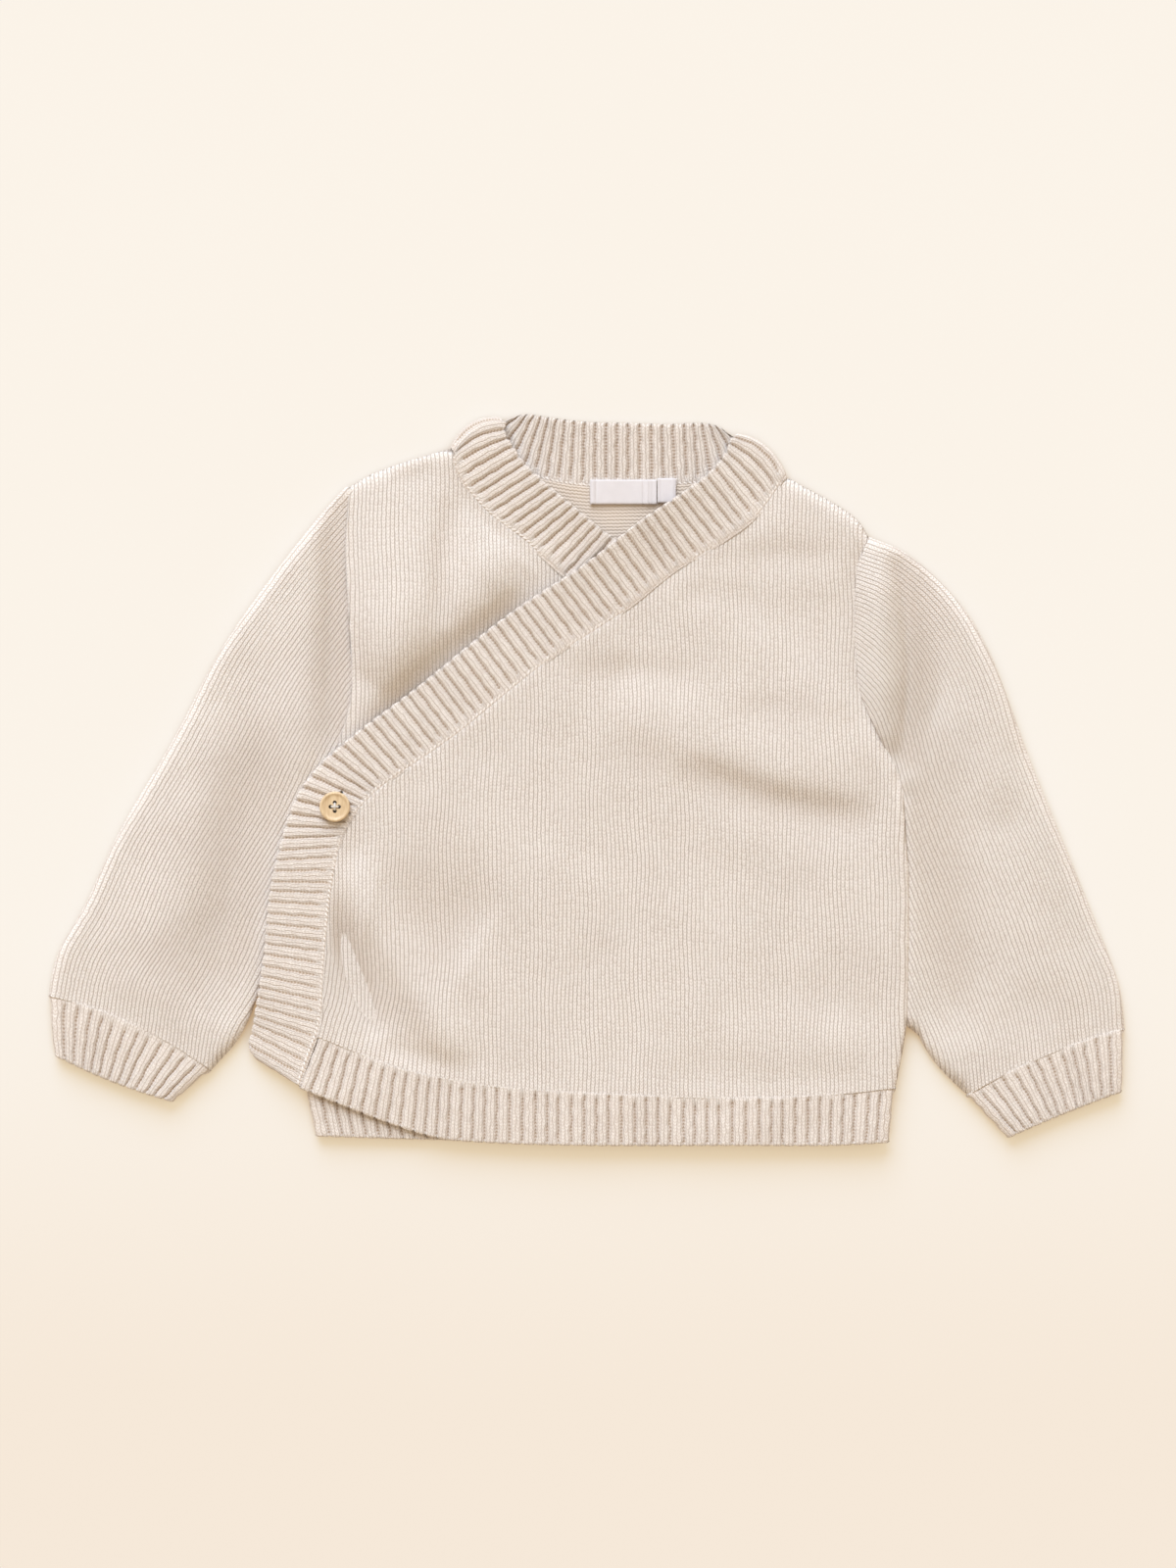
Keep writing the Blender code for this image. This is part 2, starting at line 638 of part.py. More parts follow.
def make_hem(name, rows, level, ends, finish, across):
    """A ribbed hem between its linked edge and its free edge, where it thins a little.

    Ends gives the height of the side seam at the left and right, or None at the band.
    """
    rows = np.array(rows)
    for end, row, hand in zip(ends, (0, -1), (1, -1)):
        if end:
            rows[row, [0, 2]] += hand * RIB / 2
    top, free = along(curve(rows[:, :2]), across), along(curve(rows[:, 2:]), across)
    down = np.array(HEM_STEPS)[:, None, None]
    grid = free + (top - free) * down
    grid = pulled(grid, "top", SEAM / 2)
    seams = []
    for end, side, hand, edge in zip(ends, ("left", "right"), (-1, 1), (0, -1)):
        if end:
            seams.append(seam_line(grid[:, edge], hand, end, SIDE_REACH[side], 1))
        else:
            grid = pulled(grid, side, SEAM / 2)
    middle, outward = settle(grid, level, seams, -1 if name == "hem_back" else 1)
    wall = np.full(grid.shape[:2], RIB)
    wall[0] *= FREE_EDGE
    return cloth(name, middle, outward, wall, finish)


def ring_tube(name, plan, arm_arc, top, wall, finish, folds=None):
    """A flattened tube: plan is a grid from armhole to cuff (rows) and outer to inner edge."""
    outer, inner = plan[:, 0], plan[:, -1]
    half = plan.shape[1]
    gap_outer, _ = nearest(plan, outer)
    gap_inner, _ = nearest(plan, inner)
    edge_gap = np.minimum(gap_outer, gap_inner)
    upper = TUBE_EDGE + (top - TUBE_EDGE) * rounded(edge_gap / TUBE_REACH)
    lower = TUBE_EDGE - (TUBE_EDGE - wall / 2) * rounded(edge_gap / FLOOR_REACH)
    if arm_arc is not None:
        gap_arm, _ = nearest(plan, plan[0])
        rise = softened(gap_arm / ARM_RISE)
        for layer, level in ((upper, ARMHOLE_SEAM), (lower, wall / 2)):
            seam = armhole_height(arm_arc, arm_arc[-1], level)
            layer[:] = seam + (layer - seam) * rise
    if folds:
        upper += fold_relief(plan, folds) * rounded(edge_gap / TUBE_REACH)
    hand = 1 if name.endswith("left") else -1
    hand_outer, hand_inner = sideways(outer, hand), sideways(inner, -hand)
    lean = (np.clip(1 - gap_outer / TURN, 0, 1)[..., None] * hand_outer[:, None]
            + np.clip(1 - gap_inner / TURN, 0, 1)[..., None] * hand_inner[:, None])
    size = np.linalg.norm(lean, axis=-1, keepdims=True)
    lean = lean / np.maximum(size, 1)
    upright = np.sqrt(np.maximum(1 - (lean**2).sum(-1), 0))
    back = slice(half - 2, 0, -1)
    middle = np.concatenate([np.dstack([plan, upper]), np.dstack([plan, lower])[:, back]], axis=1)
    outward = np.concatenate([np.dstack([lean, upright]), np.dstack([lean, -upright])[:, back]], axis=1)
    return cloth(name, middle, outward, wall, finish, tube=True)


def ring_shares():
    """Shares across a tube, closer together at its two edges."""
    angles = np.linspace(0, math.pi, TUBE_SIDES // 2 + 1)
    return (1 - np.cos(angles)) / 2


def make_sleeve(side, finish):
    hand = 1 if side == "left" else -1
    rows = np.array(SLEEVES[side])
    outer = inset(curve(rows[:, :2]), SLEEVE_KNIT / 2, hand)
    inner = inset(curve(rows[:, 2:]), SLEEVE_KNIT / 2, -hand)
    arm = along(armhole(side), ring_shares())
    inner = np.vstack([arm[-UNDERARM:-1], inner])
    arm = along(np.vstack([outer[:1], arm[1:1 - UNDERARM]]), ring_shares())
    seam = chord(outer[-1], inner[-1], CUFF_SEAM_BOW[side] * hand)
    grid = patch(arm, along(seam, ring_shares()),
                 along(outer, bend_shares(outer, SLEEVE_RINGS)),
                 along(inner, bend_shares(inner, SLEEVE_RINGS)))
    grid = kept_off(pulled(grid, "top", SEAM / 2), side)
    arc = lengths(arm)
    name = "sleeve_" + side
    return ring_tube(name, grid, arc, SLEEVE_TOP, SLEEVE_KNIT, finish, FOLDS[name])


def kept_off(grid, side):
    """The sleeve's plan points, those that come too near the body moved out from it."""
    hand = 1 if side == "right" else -1
    up_arm = along(armhole(side)[::-1], 1 - ring_shares()[::-1])
    fence = np.vstack([curve(column(SIDE_ROWS, side))[:-1], up_arm[1:]])
    out = sideways(fence, hand)
    _, at = nearest(grid, fence)
    places = np.arange(len(fence))
    foot, normal = (
        np.stack([np.interp(at, places, line[:, k]) for k in range(2)], -1)
        for line in (fence, out)
    )
    wanted = np.full(grid.shape[:2], ARMHOLE_GAP + SLEEVE_KNIT / 2)
    wanted[0, :-1] = ARMHOLE_GAP
    past = ((grid - foot) * normal).sum(-1)
    return grid + normal * np.maximum(wanted - past, 0)[..., None]


def make_cuff(side, finish):
    hand = 1 if side == "left" else -1
    rows = np.array(CUFFS[side])
    outer = inset(curve(rows[:, :2]), RIB / 2, hand)
    inner = inset(curve(rows[:, 2:]), RIB / 2, -hand)
    seam = chord(outer[0], inner[0], CUFF_SEAM_BOW[side] * hand)
    end = chord(outer[-1], inner[-1], CUFF_END_BOW[side] * hand)
    down = np.linspace(0, 1, CUFF_RINGS)
    grid = patch(along(seam, ring_shares()), along(end, ring_shares()),
                 along(outer, down), along(inner, down))
    grid = pulled(grid, "bottom", SEAM / 2)
    return ring_tube("cuff_" + side, grid, None, CUFF_TOP, RIB, finish)


def fold_rings(fold, into, upper, lower):
    """Rings that turn the band over at a neck point, from its upper to its lower layer.

    Fold is the outline that the turn must reach, and into points back to the garment.
    """
    radius = (upper - lower) / 2
    free, seam = np.array(fold[:2]), np.array(fold[2:4])
    course = (free - seam) / np.linalg.norm(free - seam)
    out = np.array([-course[1], course[0]])
    out = -out if out @ np.asarray(into) > 0 else out
    rings = []
    for k in range(FOLD_TURNS + 1):
        angle = math.pi * k / FOLD_TURNS
        shift = out * (radius * math.sin(angle) - radius - RIB / 2)
        height = (upper + lower) / 2 + radius * math.cos(angle)
        normal = (*(out * math.sin(angle)), math.cos(angle))
        rings.append((*(free + shift), *(seam + shift), height, height, *normal))
    return rings


def flat_rings(rows, face):
    """Rings of a stretch that lies flat: face is 1 with its right side up, -1 with it down."""
    line = curve(np.array(rows), steps=10)
    centre = (line[:, :2] + line[:, 2:4]) / 2
    reach = lengths(centre)
    count = max(2, round(reach[-1] / BAND_STEP))
    wanted = bend_shares(centre, count + 1) * reach[-1]
    picked = np.column_stack([np.interp(wanted, reach, line[:, k]) for k in range(6)])
    return [(*row, 0, 0, face) for row in picked]


def band_rings():
    """Rings of the neck band in its five stretches, from the over front's hem round to the end."""
    right_fold = fold_rings(RIGHT_FOLD, (0, -1), NECK_FRONT_LEVEL, NECK_BACK_LEVEL)
    left_fold = fold_rings(LEFT_FOLD, (0, -1), NECK_FRONT_LEVEL, NECK_BACK_LEVEL)[::-1]
    return {
        "over": flat_rings([*OVER_BAND_ROWS, right_fold[0][:6]], 1)[:-1],
        "right_fold": right_fold,
        "back": flat_rings([right_fold[-1][:6], *BACK_BAND_ROWS, left_fold[0][:6]], -1)[1:-1],
        "left_fold": left_fold,
        "under": flat_rings([left_fold[-1][:6], *UNDER_BAND_ROWS], 1)[1:],
    }


def band_seam(rings):
    """Plan points of the linked edge of some of the band's rings."""
    return np.array([ring[2:4] for ring in rings])


def make_neck_band(finish):
    """One ribbed strip, folded over at both neck points."""
    rings = np.array([ring for stretch in band_rings().values() for ring in stretch])
    across = np.array(BAND_ACROSS)[:, None]
    middle, outward = [], []
    for free_x, free_y, seam_x, seam_y, free_z, seam_z, *normal in rings:
        free, seam = np.array([free_x, free_y, free_z]), np.array([seam_x, seam_y, seam_z])
        seam = seam + (free - seam) * SEAM / 2 / np.linalg.norm(free - seam)
        middle.append(free + (seam - free) * across)
        outward.append(np.broadcast_to(normal, (len(across), 3)))
    wall = np.full((len(rings), len(across)), RIB)
    wall[:, 0] *= FREE_EDGE
    band = cloth("neck_band", np.array(middle), np.array(outward), wall, finish)
    cut_buttonhole(band)
    return band


def box(size, place, turn=0.0):
    """A box in millimetres, turned about Z and centred on its place."""
    solid = bmesh.new()
    bmesh.ops.create_cube(solid, size=1)
    bmesh.ops.scale(solid, vec=size, verts=solid.verts)
    bmesh.ops.rotate(solid, matrix=Matrix.Rotation(turn, 3, "Z"), verts=solid.verts)
    bmesh.ops.translate(solid, vec=place, verts=solid.verts)
    return solid


def cutter(name, solid):
    made = add_object(name, solid, None)
    made.hide_render = True
    made.display_type = "WIRE"
    return made


def cut(target, tool, operation="DIFFERENCE"):
    change = target.modifiers.new(tool.name, "BOOLEAN")
    change.operation = operation
    change.object = tool


def cut_buttonhole(band):
    """The slit stands open round the shank and closes to a point beside the button."""
    cos, sin = math.cos(BUTTONHOLE_ANGLE), math.sin(BUTTONHOLE_ANGLE)
    outline = [*BUTTONHOLE, *((away, -half) for away, half in reversed(BUTTONHOLE) if half)]
    solid = bmesh.new()
    floor = solid.faces.new([
        solid.verts.new((BUTTON_AT[0] + away * cos - half * sin,
                         BUTTON_AT[1] + away * sin + half * cos, BUTTONHOLE_DEPTH[0]))
        for away, half in outline
    ])
    wall = bmesh.ops.extrude_face_region(solid, geom=[floor])
    top = [part for part in wall["geom"] if isinstance(part, bmesh.types.BMVert)]
    bmesh.ops.translate(solid, vec=(0, 0, BUTTONHOLE_DEPTH[1] - BUTTONHOLE_DEPTH[0]), verts=top)
    cut(band, cutter("buttonhole", solid))


def cylinder(radius, low, high, place, sides):
    solid = bmesh.new()
    bmesh.ops.create_cone(solid, cap_ends=True, segments=sides, radius1=radius, radius2=radius,
                          depth=high - low)
    bmesh.ops.translate(solid, vec=(*place, (low + high) / 2), verts=solid.verts)
    return solid


def hole_places():
    """The four holes, at north, east, south and west."""
    for k in range(4):
        angle = k * math.pi / 2
        yield (BUTTON_AT[0] + HOLE_OFFSET * math.cos(angle),
               BUTTON_AT[1] + HOLE_OFFSET * math.sin(angle))


def make_button(finish, base):
    """A turned disc: a rounded rim round a shallow dish, with four holes."""
    radius = BUTTON_DIAMETER / 2
    top = base + BUTTON_THICK
    profile = (
        (0.0, base), (radius - 1.0, base), (radius, base + 0.9), (radius - 0.15, top - 0.5),
        (radius - 0.7, top), (radius - BUTTON_RIM + 0.2, top - 0.1),
        (radius - BUTTON_RIM - 0.4, top - BUTTON_DISH), (0.0, top - BUTTON_DISH),
    )
    sides = 36
    solid = bmesh.new()
    rings = []
    for distance, height in profile:
        count = sides if distance else 1
        rings.append([
            solid.verts.new((BUTTON_AT[0] + distance * math.cos(2 * math.pi * k / sides),
                             BUTTON_AT[1] + distance * math.sin(2 * math.pi * k / sides), height))
            for k in range(count)
        ])
    for ring, following in zip(rings, rings[1:]):
        for k in range(sides):
            corners = (ring[k % len(ring)], ring[(k + 1) % len(ring)],
                       following[(k + 1) % len(following)], following[k % len(following)])
            solid.faces.new(dict.fromkeys(corners))
    button = add_object("button", solid, finish)
    for k, place in enumerate(hole_places()):
        drill = cylinder(HOLE_DIAMETER / 2, base - 1, top + 1, place, 12)
        cut(button, cutter(f"button_hole_{k}", drill))
    return button


def make_thread(finish, base, cloth_top):
    """Cross stitches over the button, down its holes, and the shank to the under front."""
    dish = base + BUTTON_THICK - BUTTON_DISH
    low, high = base - 0.75, dish + 0.25
    shank = cylinder(SHANK / 2, cloth_top + SEAM, low + 0.35, BUTTON_AT, 10)
    thread = add_object("button_thread", shank, finish)
    span = 2 * HOLE_OFFSET + THREAD * 0.8
    for k in range(2):
        turn = k * math.pi / 2
        for tag, height in (("stitch", high + THREAD / 2 - 0.05), ("tie", low + 0.22)):
            bar = box((span, THREAD * 0.8, THREAD if tag == "stitch" else 0.45),
                      (*BUTTON_AT, height), turn)
            cut(thread, cutter(f"{tag}_{k}", bar), "UNION")
    for k, place in enumerate(hole_places()):
        leg = cylinder(THREAD * 0.36, low + 0.1, high + 0.2, place, 8)
        cut(thread, cutter(f"leg_{k}", leg), "UNION")
    return thread


def make_label(name, sizes, finish):
    """A folded woven label that lies across the seam of back and neck band."""
    plan = np.array([
        [(x, y) for x in np.linspace(sizes["left"], sizes["right"], 7)]
        for y in np.linspace(sizes["low"], sizes["top"], 5)
    ])
    wave = LABEL_WAVE * (1 + np.sin((plan[..., 0] - sizes["left"]) * LABEL_WAVE_TURN))
    middle = np.dstack([plan, RIB + SEAM + sizes["thick"] / 2 + wave])
    outward = np.zeros_like(middle)
    outward[..., 2] = 1
    return cloth(name, middle, outward, sizes["thick"], finish)


def main():
    for thing in list(bpy.data.objects):
        bpy.data.objects.remove(thing)
    knit = material("cream plain knit", CREAM, 0.95)
    rib = material("cream rib", CREAM, 0.95)
    wood = material("pale wood", WOOD, 0.45)
    thread = material("white thread", WHITE, 0.8)
    satin = material("white satin", WHITE, 0.5)
    make_back(knit)
    make_under_front(knit)
    make_over_front(knit)
    make_hem("hem_back", HIDDEN_HEM_ROWS, HEM_LEVELS["back"],
             (SIDE_SEAM["left"] - SEAM / 2, SIDE_SEAM["right"] - SEAM / 2), rib,
             roll_shares(245, 12, SIDE_REACH["left"], SIDE_REACH["right"]))
    band_x = UNDER_BAND_ROWS[-1][2]
    under_rows = [*HIDDEN_HEM_ROWS[:3], (band_x + 0.5, UNDER_HEM_LINE, band_x, -151.0)]
    make_hem("hem_under_front", under_rows, HEM_LEVELS["under"],
             (SIDE_SEAM["left"] + SEAM / 2, None), rib, roll_shares(210, 12, SIDE_REACH["left"]))
    make_hem("hem_over_front", HEM_ROWS, HEM_LEVELS["over"],
             (None, SIDE_SEAM["right"] + SEAM / 2), rib, hem_shares())
    for side in ("left", "right"):
        make_sleeve(side, knit)
        make_cuff(side, rib)
    make_neck_band(rib)
    band_top = OVER_LEVEL + 0.3 + RIB / 2
    make_button(wood, band_top + SEAM)
    make_thread(thread, band_top + SEAM, UNDER_LEVEL + KNIT / 2)
    make_label("label", LABEL, satin)
    make_label("size_tab", SIZE_TAB, satin)


main()
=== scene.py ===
"""The finish of a baby's knitted wrap cardigan that lies flat with its right side up.

Every knitted piece is a thin closed shell about a middle surface. Its plan comes from the
tables below, its height from the layers, the rolled edges and the folds, and its ribs and
wales are raised in the mesh. Left and right are the viewer's. Tables and sizes are in
millimetres, with +Y towards the neck and Z up from the floor.
"""

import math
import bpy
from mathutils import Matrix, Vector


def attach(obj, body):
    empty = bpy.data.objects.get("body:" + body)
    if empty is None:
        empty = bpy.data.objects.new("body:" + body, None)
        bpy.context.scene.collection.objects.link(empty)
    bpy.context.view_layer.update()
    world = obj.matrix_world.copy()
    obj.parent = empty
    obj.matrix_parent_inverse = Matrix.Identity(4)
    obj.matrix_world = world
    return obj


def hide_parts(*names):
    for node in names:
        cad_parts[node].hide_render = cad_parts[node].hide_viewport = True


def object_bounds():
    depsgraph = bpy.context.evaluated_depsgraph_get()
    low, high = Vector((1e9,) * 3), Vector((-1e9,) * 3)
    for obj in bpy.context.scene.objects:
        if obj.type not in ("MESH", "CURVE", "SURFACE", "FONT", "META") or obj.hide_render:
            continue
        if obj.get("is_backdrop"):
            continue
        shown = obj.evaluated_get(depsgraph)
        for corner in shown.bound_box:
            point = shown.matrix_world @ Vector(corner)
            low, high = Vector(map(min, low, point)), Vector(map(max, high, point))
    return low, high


bl_info = {
    "name": "Baby wrap cardigan",
    "version": (1, 0, 0),
    "blender": (4, 5, 0),
    "location": "3D View > Sidebar > Cardigan",
    "description": "Builds the knitted pieces, button, labels and stage of a laid cardigan",
    "category": "Object",
}

import bmesh
import bpy
import numpy as np
from mathutils import Vector

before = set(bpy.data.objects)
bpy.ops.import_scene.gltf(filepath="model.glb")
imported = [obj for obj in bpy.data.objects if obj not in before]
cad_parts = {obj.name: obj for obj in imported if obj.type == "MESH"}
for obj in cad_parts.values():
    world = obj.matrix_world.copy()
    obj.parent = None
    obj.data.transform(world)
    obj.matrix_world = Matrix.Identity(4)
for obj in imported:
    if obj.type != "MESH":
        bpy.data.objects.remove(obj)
CAD_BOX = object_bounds()

MM = 0.001

# ---- levels, seams and edges

BACK_LEVEL = 1.1
UNDER_LEVEL = 3.9
OVER_LEVEL = 7.2
OVER_DROP = 1.6  # the over front sinks this much where only the back is below it
DROP_WIDTH = 25.0
HEM_LEVELS = {"back": 1.3, "under": 4.4, "over": 7.5}
NECK_FRONT_LEVEL = 4.8
NECK_BACK_LEVEL = 1.3
SLEEVE_TOP = 5.6
CUFF_TOP = 5.3
SEAM_GAP = -0.4  # each piece passes the seam's line by this, so that no gap shows
TUCK = 0.1  # a panel's skin lies this far below the strip's where they are linked
TURN = 3.0  # how far in from a rolled edge the wall leans over

SIDE_SEAM = {"left": 2.5, "right": 5.4}
SIDE_REACH = {"left": 4.0, "right": 7.5}
SHOULDER_SEAM = 2.7
SHOULDER_REACH = 5.0
SHOULDER_GAP = 0.4
GAP_FADE = 3.0
OUT_SIDE = {"left": -1, "right": 1}  # the side of an upward line that faces out
TUBE_EDGE = 2.9
ARMHOLE_SEAM = 4.4
ARMHOLE_REACH = {"left": 5.0, "right": 8.0}
ARMHOLE_TURN = {"left": 0.6, "right": 0.0}  # the left front rolls over the sleeve
ARMHOLE_RISE = 3.0
ARMPIT_BLEND = 14.0
FLOOR_REACH = 5.0
TUBE_REACH = 4.0
INNER_REACH = 5.0
FOLD_ROOM = 4.0  # a sleeve's folds are at their full height this far from its inner edge
ARM_RISE = 14.0
FREE_EDGE = 0.55

# Columns: left_x, left_y, right_x, right_y, from hem to armpit, to shoulder tip, to neck.
SIDE_ROWS = (
    (-119, -129, 129.5, -130),
    (-118, -101.5, 134, -103.5),
    (-116.5, -73, 135, -75),
    (-115, -44, 135, -42),
    (-112, -21.5, 133.5, -19.5),
    (-109, 0, 132.5, -1),
)
ARMHOLE_ROWS = (
    (-109, 0, 132.5, -1),
    (-102, 16.5, 122.5, 18),
    (-97.5, 36, 114, 38),
    (-98.5, 62.5, 112.5, 62.5),
    (-100, 95.5, 114, 89),
    (-99, 121.5, 118.5, 100),
)
SHOULDER_ROWS = (
    (-99, 121.5, 118.5, 100),
    (-91.5, 126, 113.5, 107.5),
    (-81.5, 130, 103, 115),
    (-69, 134, 93, 120.5),
    (-57, 137.5, 84, 125.5),
)

# Columns: top_x, top_y, free_x, free_y, from left to right.
HEM_ROWS = (
    (-111.5, -109, -120, -129.5),
    (-102, -113, -108, -134.5),
    (-81.5, -121, -85, -143.5),
    (-61, -126, -62.5, -150.5),
    (-40.5, -129.5, -41, -152.5),
    (0.5, -132.5, 0.5, -153.7),
    (62, -134.5, 62, -153.7),
    (103, -133, 102.5, -153.7),
    (129.5, -130, 127.5, -152.5),
)
HIDDEN_HEM_ROWS = (
    (-119, -129, -114.5, -150),
    (-60, -131, -58, -151.5),
    (40, -132, 40, -152),
    (129.5, -130, 127.5, -152.5),
)
UNDER_HEM_END = (99, -131.5, 98.5, -151)

# Columns: free_x, free_y, seam_x, seam_y, free_z, seam_z, round the band from the over front.
OVER_BAND_ROWS = (
    (-138.4, -118.4, -120, -129.5, 3.8, 7.2),
    (-141, -113.2, -118.6, -125.5, 4.1, 7.2),
    (-139.5, -106.5, -116, -118, 4.6, 7.3),
    (-138, -97.5, -111.5, -105, 5.6, 7.3),
    (-134.5, -75, -109.5, -79, 7.2, 7.3),
    (-132, -48, -106.5, -49, 7.6, 7.3),
    (-127.5, -28.5, -102.5, -27, 7.7, 7.3),
    (-122, -11.5, -97.5, -17, 7.7, 7.3),
    (-113.5, 2, -91, -9.5, 7.7, 7.3),
    (-100, 14.5, -83, -2.5, 7.6, 7.3),
    (-71, 36.5, -55.5, 16.5, 7.3, 7.3),
    (-32, 67.5, -17, 47.5, 7.3, 7.3),
    (0.5, 89, 16, 69, 7.3, 7.3),
    (23, 106.5, 37.5, 86, 7.2, 7),
    (41.5, 119, 58, 98.5, 6.6, 6.2),
    (53, 128, 69.5, 107, 5.8, 5.6),
    (59, 136.5, 77.5, 116.5, 5.1, 5.1),
)
RIGHT_FOLD = (62, 148, 84, 125.5)
BACK_BAND_ROWS = (
    (48, 147.5, 52, 122.5, 1.3, 1.3),
    (33.5, 147, 34.5, 121.5, 1.3, 1.3),
    (17, 147.5, 17, 121, 1.3, 1.3),
    (0.5, 148, 0, 121, 1.3, 1.3),
    (-13.5, 149.5, -18, 124, 1.3, 1.3),
    (-23, 151, -34, 129, 1.3, 1.3),
)
LEFT_FOLD = (-34, 154.4, -57, 138.5)
UNDER_BAND_ROWS = (
    (-34, 143.5, -56, 132, 4.8, 4.8),
    (-31, 137.5, -53, 124.5, 4.7, 4.6),
    (-27, 131.5, -48.5, 118, 4.6, 4.5),
    (-19, 123.5, -40.5, 109.5, 4.4, 4.4),
    (-7.5, 114, -26.5, 99, 4.3, 4.3),
    (6.5, 102.5, -10, 84, 4.2, 4.2),
    (41.5, 77.5, 26, 57.5, 4.2, 4.2),
    (78.5, 51, 63, 31.5, 4.2, 4.2),
    (102.5, 33, 84.5, 14.5, 4.2, 4.2),
    (116.5, 12.5, 94.5, 0, 4.2, 4.2),
    (123, -15.5, 98.5, -20.5, 4.2, 4.2),
    (124.5, -64.5, 99.5, -64.5, 4.2, 4.2),
    (122.5, -151, 98.5, -151, 4.3, 4.3),
)

# Columns: outer_x, outer_y, inner_x, inner_y, from armhole to cuff.
SLEEVES = {
    "left": (
        (-100.3, 122, -110.5, -1.5),
        (-112, 109, -113.5, -10),
        (-132.5, 83, -117, -22),
        (-153, 53.5, -121, -37),
        (-173.5, 15, -126.5, -55),
        (-196, -23.5, -132, -75),
        (-210.5, -54.5, -138.5, -94.5),
        (-222, -75, -145.5, -109.5),
        (-225.5, -91.5, -157, -123),
    ),
    "right": (
        (118.5, 100.5, 134.5, -2.5),
        (134, 93.5, 135.5, -9),
        (154.5, 75, 136.5, -23.5),
        (168.5, 52.5, 136.8, -40),
        (185, 9, 136.8, -62.5),
        (201.5, -32, 136.5, -87),
        (214.5, -64.5, 139.5, -109),
        (223, -87, 148.5, -123),
        (225.5, -105.5, 159.5, -133.5),
    ),
}
CUFF_SEAM_BOW = {"left": 3.7, "right": 2.5}
CUFF_END_BOW = {"left": -1.4, "right": 0.5}
CUFFS = {
    "left": (
        (-225.5, -92, -157.5, -123.5),
        (-225, -105, -165, -130),
        (-223.5, -116.5, -172.5, -136.5),
    ),
    "right": (
        (225.5, -106, 159, -134),
        (225.5, -118.5, 167, -142.5),
        (225, -131.5, 175.5, -151.5),
    ),
}

# Columns: start_x, start_y, end_x, end_y, bow to the left of the course, widths to the left
# and to the right of it, height.
# A row is a soft ridge, or a trough where its height is below zero.
UNDER_FOLDS = {
    "lip above the band": (-92, 40, -30, 90, 4, 30, 17, 7),
    "ripple above the band": (-46, 82, -4, 106, 2, 10, 11, 2.2),
    "roll over the armhole": (-87, 132, -86, -14, 2, 13, 9, 3.8),
    "puff of the chest": (-69, 132, -78, 44, 3, 9, 9, 1.2),
    "puff beside the band": (-36, 122, -34, 60, -3, 14, 12, 1.4),
    "crease between the puffs": (-56, 118, -60, 62, -2, 6, 5, -2.2),
    "dent at the shoulder": (-84, 124, -62, 128, 0, 5, 5, -0.9),
}
OVER_FOLDS = {
    "fold below the button": (-103, -34, -52, -123, -1, 10, 8.5, 4.6),
    "trough beside the band": (-109, -44, -86, -110, -2, 6, 5, -4.8),
    "second fold": (-72, -8, -10, -84, 8, 18, 10, 0.9),
    "hollow beside the button": (-90, -52, -44, -70, 2, 19, 26, -2.6),
    "roll across the belly": (8, 31, 122, -7, -6, 30, 10, 3.1),
    "trough below the belly roll": (40, 8, 124, -17, -6, 7, 12, -2),
    "crease above the hem": (-88, -114, -48, -122, 0, 5, 5, -1),
    "crease below the collar": (52, 101, 110, 99, 0, 14, 6, 0.7),
    "roll across the chest": (24, 84, 116, 82, -3, 12, 8, 0.8),
    "pull from the collar": (36, 76, 74, 76, 1, 6, 6, -1),
    "pull across the chest": (-8, 42, 50, 42, 2, 6, 9, -1.4),
    "pull to the armpit": (58, 29, 118, 21, 1, 6, 10, -0.9),
    "crease at the shoulder": (64, 92.5, 108, 92.5, 1, 6, 6, -0.5),
    "hollow at the hip": (62, -90, 132, -92, -3, 16, 12, -1),
    "swell of the hem": (20, -112, 122, -114, 0, 18, 10, 0.8),
}
BACK_FOLDS = {
    "crease across the back": (-70, 20, 40, 8, -6, 7, 7, 0.8),
    "crease at the waist": (10, -48, 96, -60, 5, 6, 6, 0.7),
    "crease to the armpit": (60, 44, 112, 20, 4, 5, 5, 0.7),
    "crease at the hip": (-92, -64, -40, -92, -5, 6, 6, 0.6),
}
SLEEVE_FOLDS = {
    "left": {
        "trough along the front": (-105, 124, -105, 2, 1, 6, 8, -4.5),
        "ridge beside the front": (-117, 118, -126, -24, 3, 10, 24, 3.6),
        "ridge of the forearm": (-158, 30, -182, -98, 4, 15, 22, 4.2),
        "hollow along the body": (-139, 28, -154, -104, 2, 15, 19, -3.4),
        "crease in the elbow": (-146, -6, -184, 8, 3, 8, 10, -0.3),
        "crease above the cuff": (-168, -80, -198, -68, 4, 8, 10, -0.6),
    },
    "right": {
        "ridge of the cap": (119, 101, 124, 10, 1.5, 7.5, 6, 4.8),
        "trough beside the ridge": (129, 98, 131, 2, 8.5, 10, 5, -5.6),
        "roll of the upper arm": (152, 84, 172, -20, 8, 12, 10, 3),
        "roll beside the body": (131, 24, 140, -94, 2, 10, 8, 0.8),
        "hollow of the forearm": (139, 18, 160, -114, -1, 15, 12, -4),
        "ridge of the forearm": (182, 10, 202, -100, -3, 16, 14, 2.6),
        "crease above the cuff": (164, -104, 200, -84, -4, 8, 9, -0.6),
    },
}

# ---- button, thread and labels

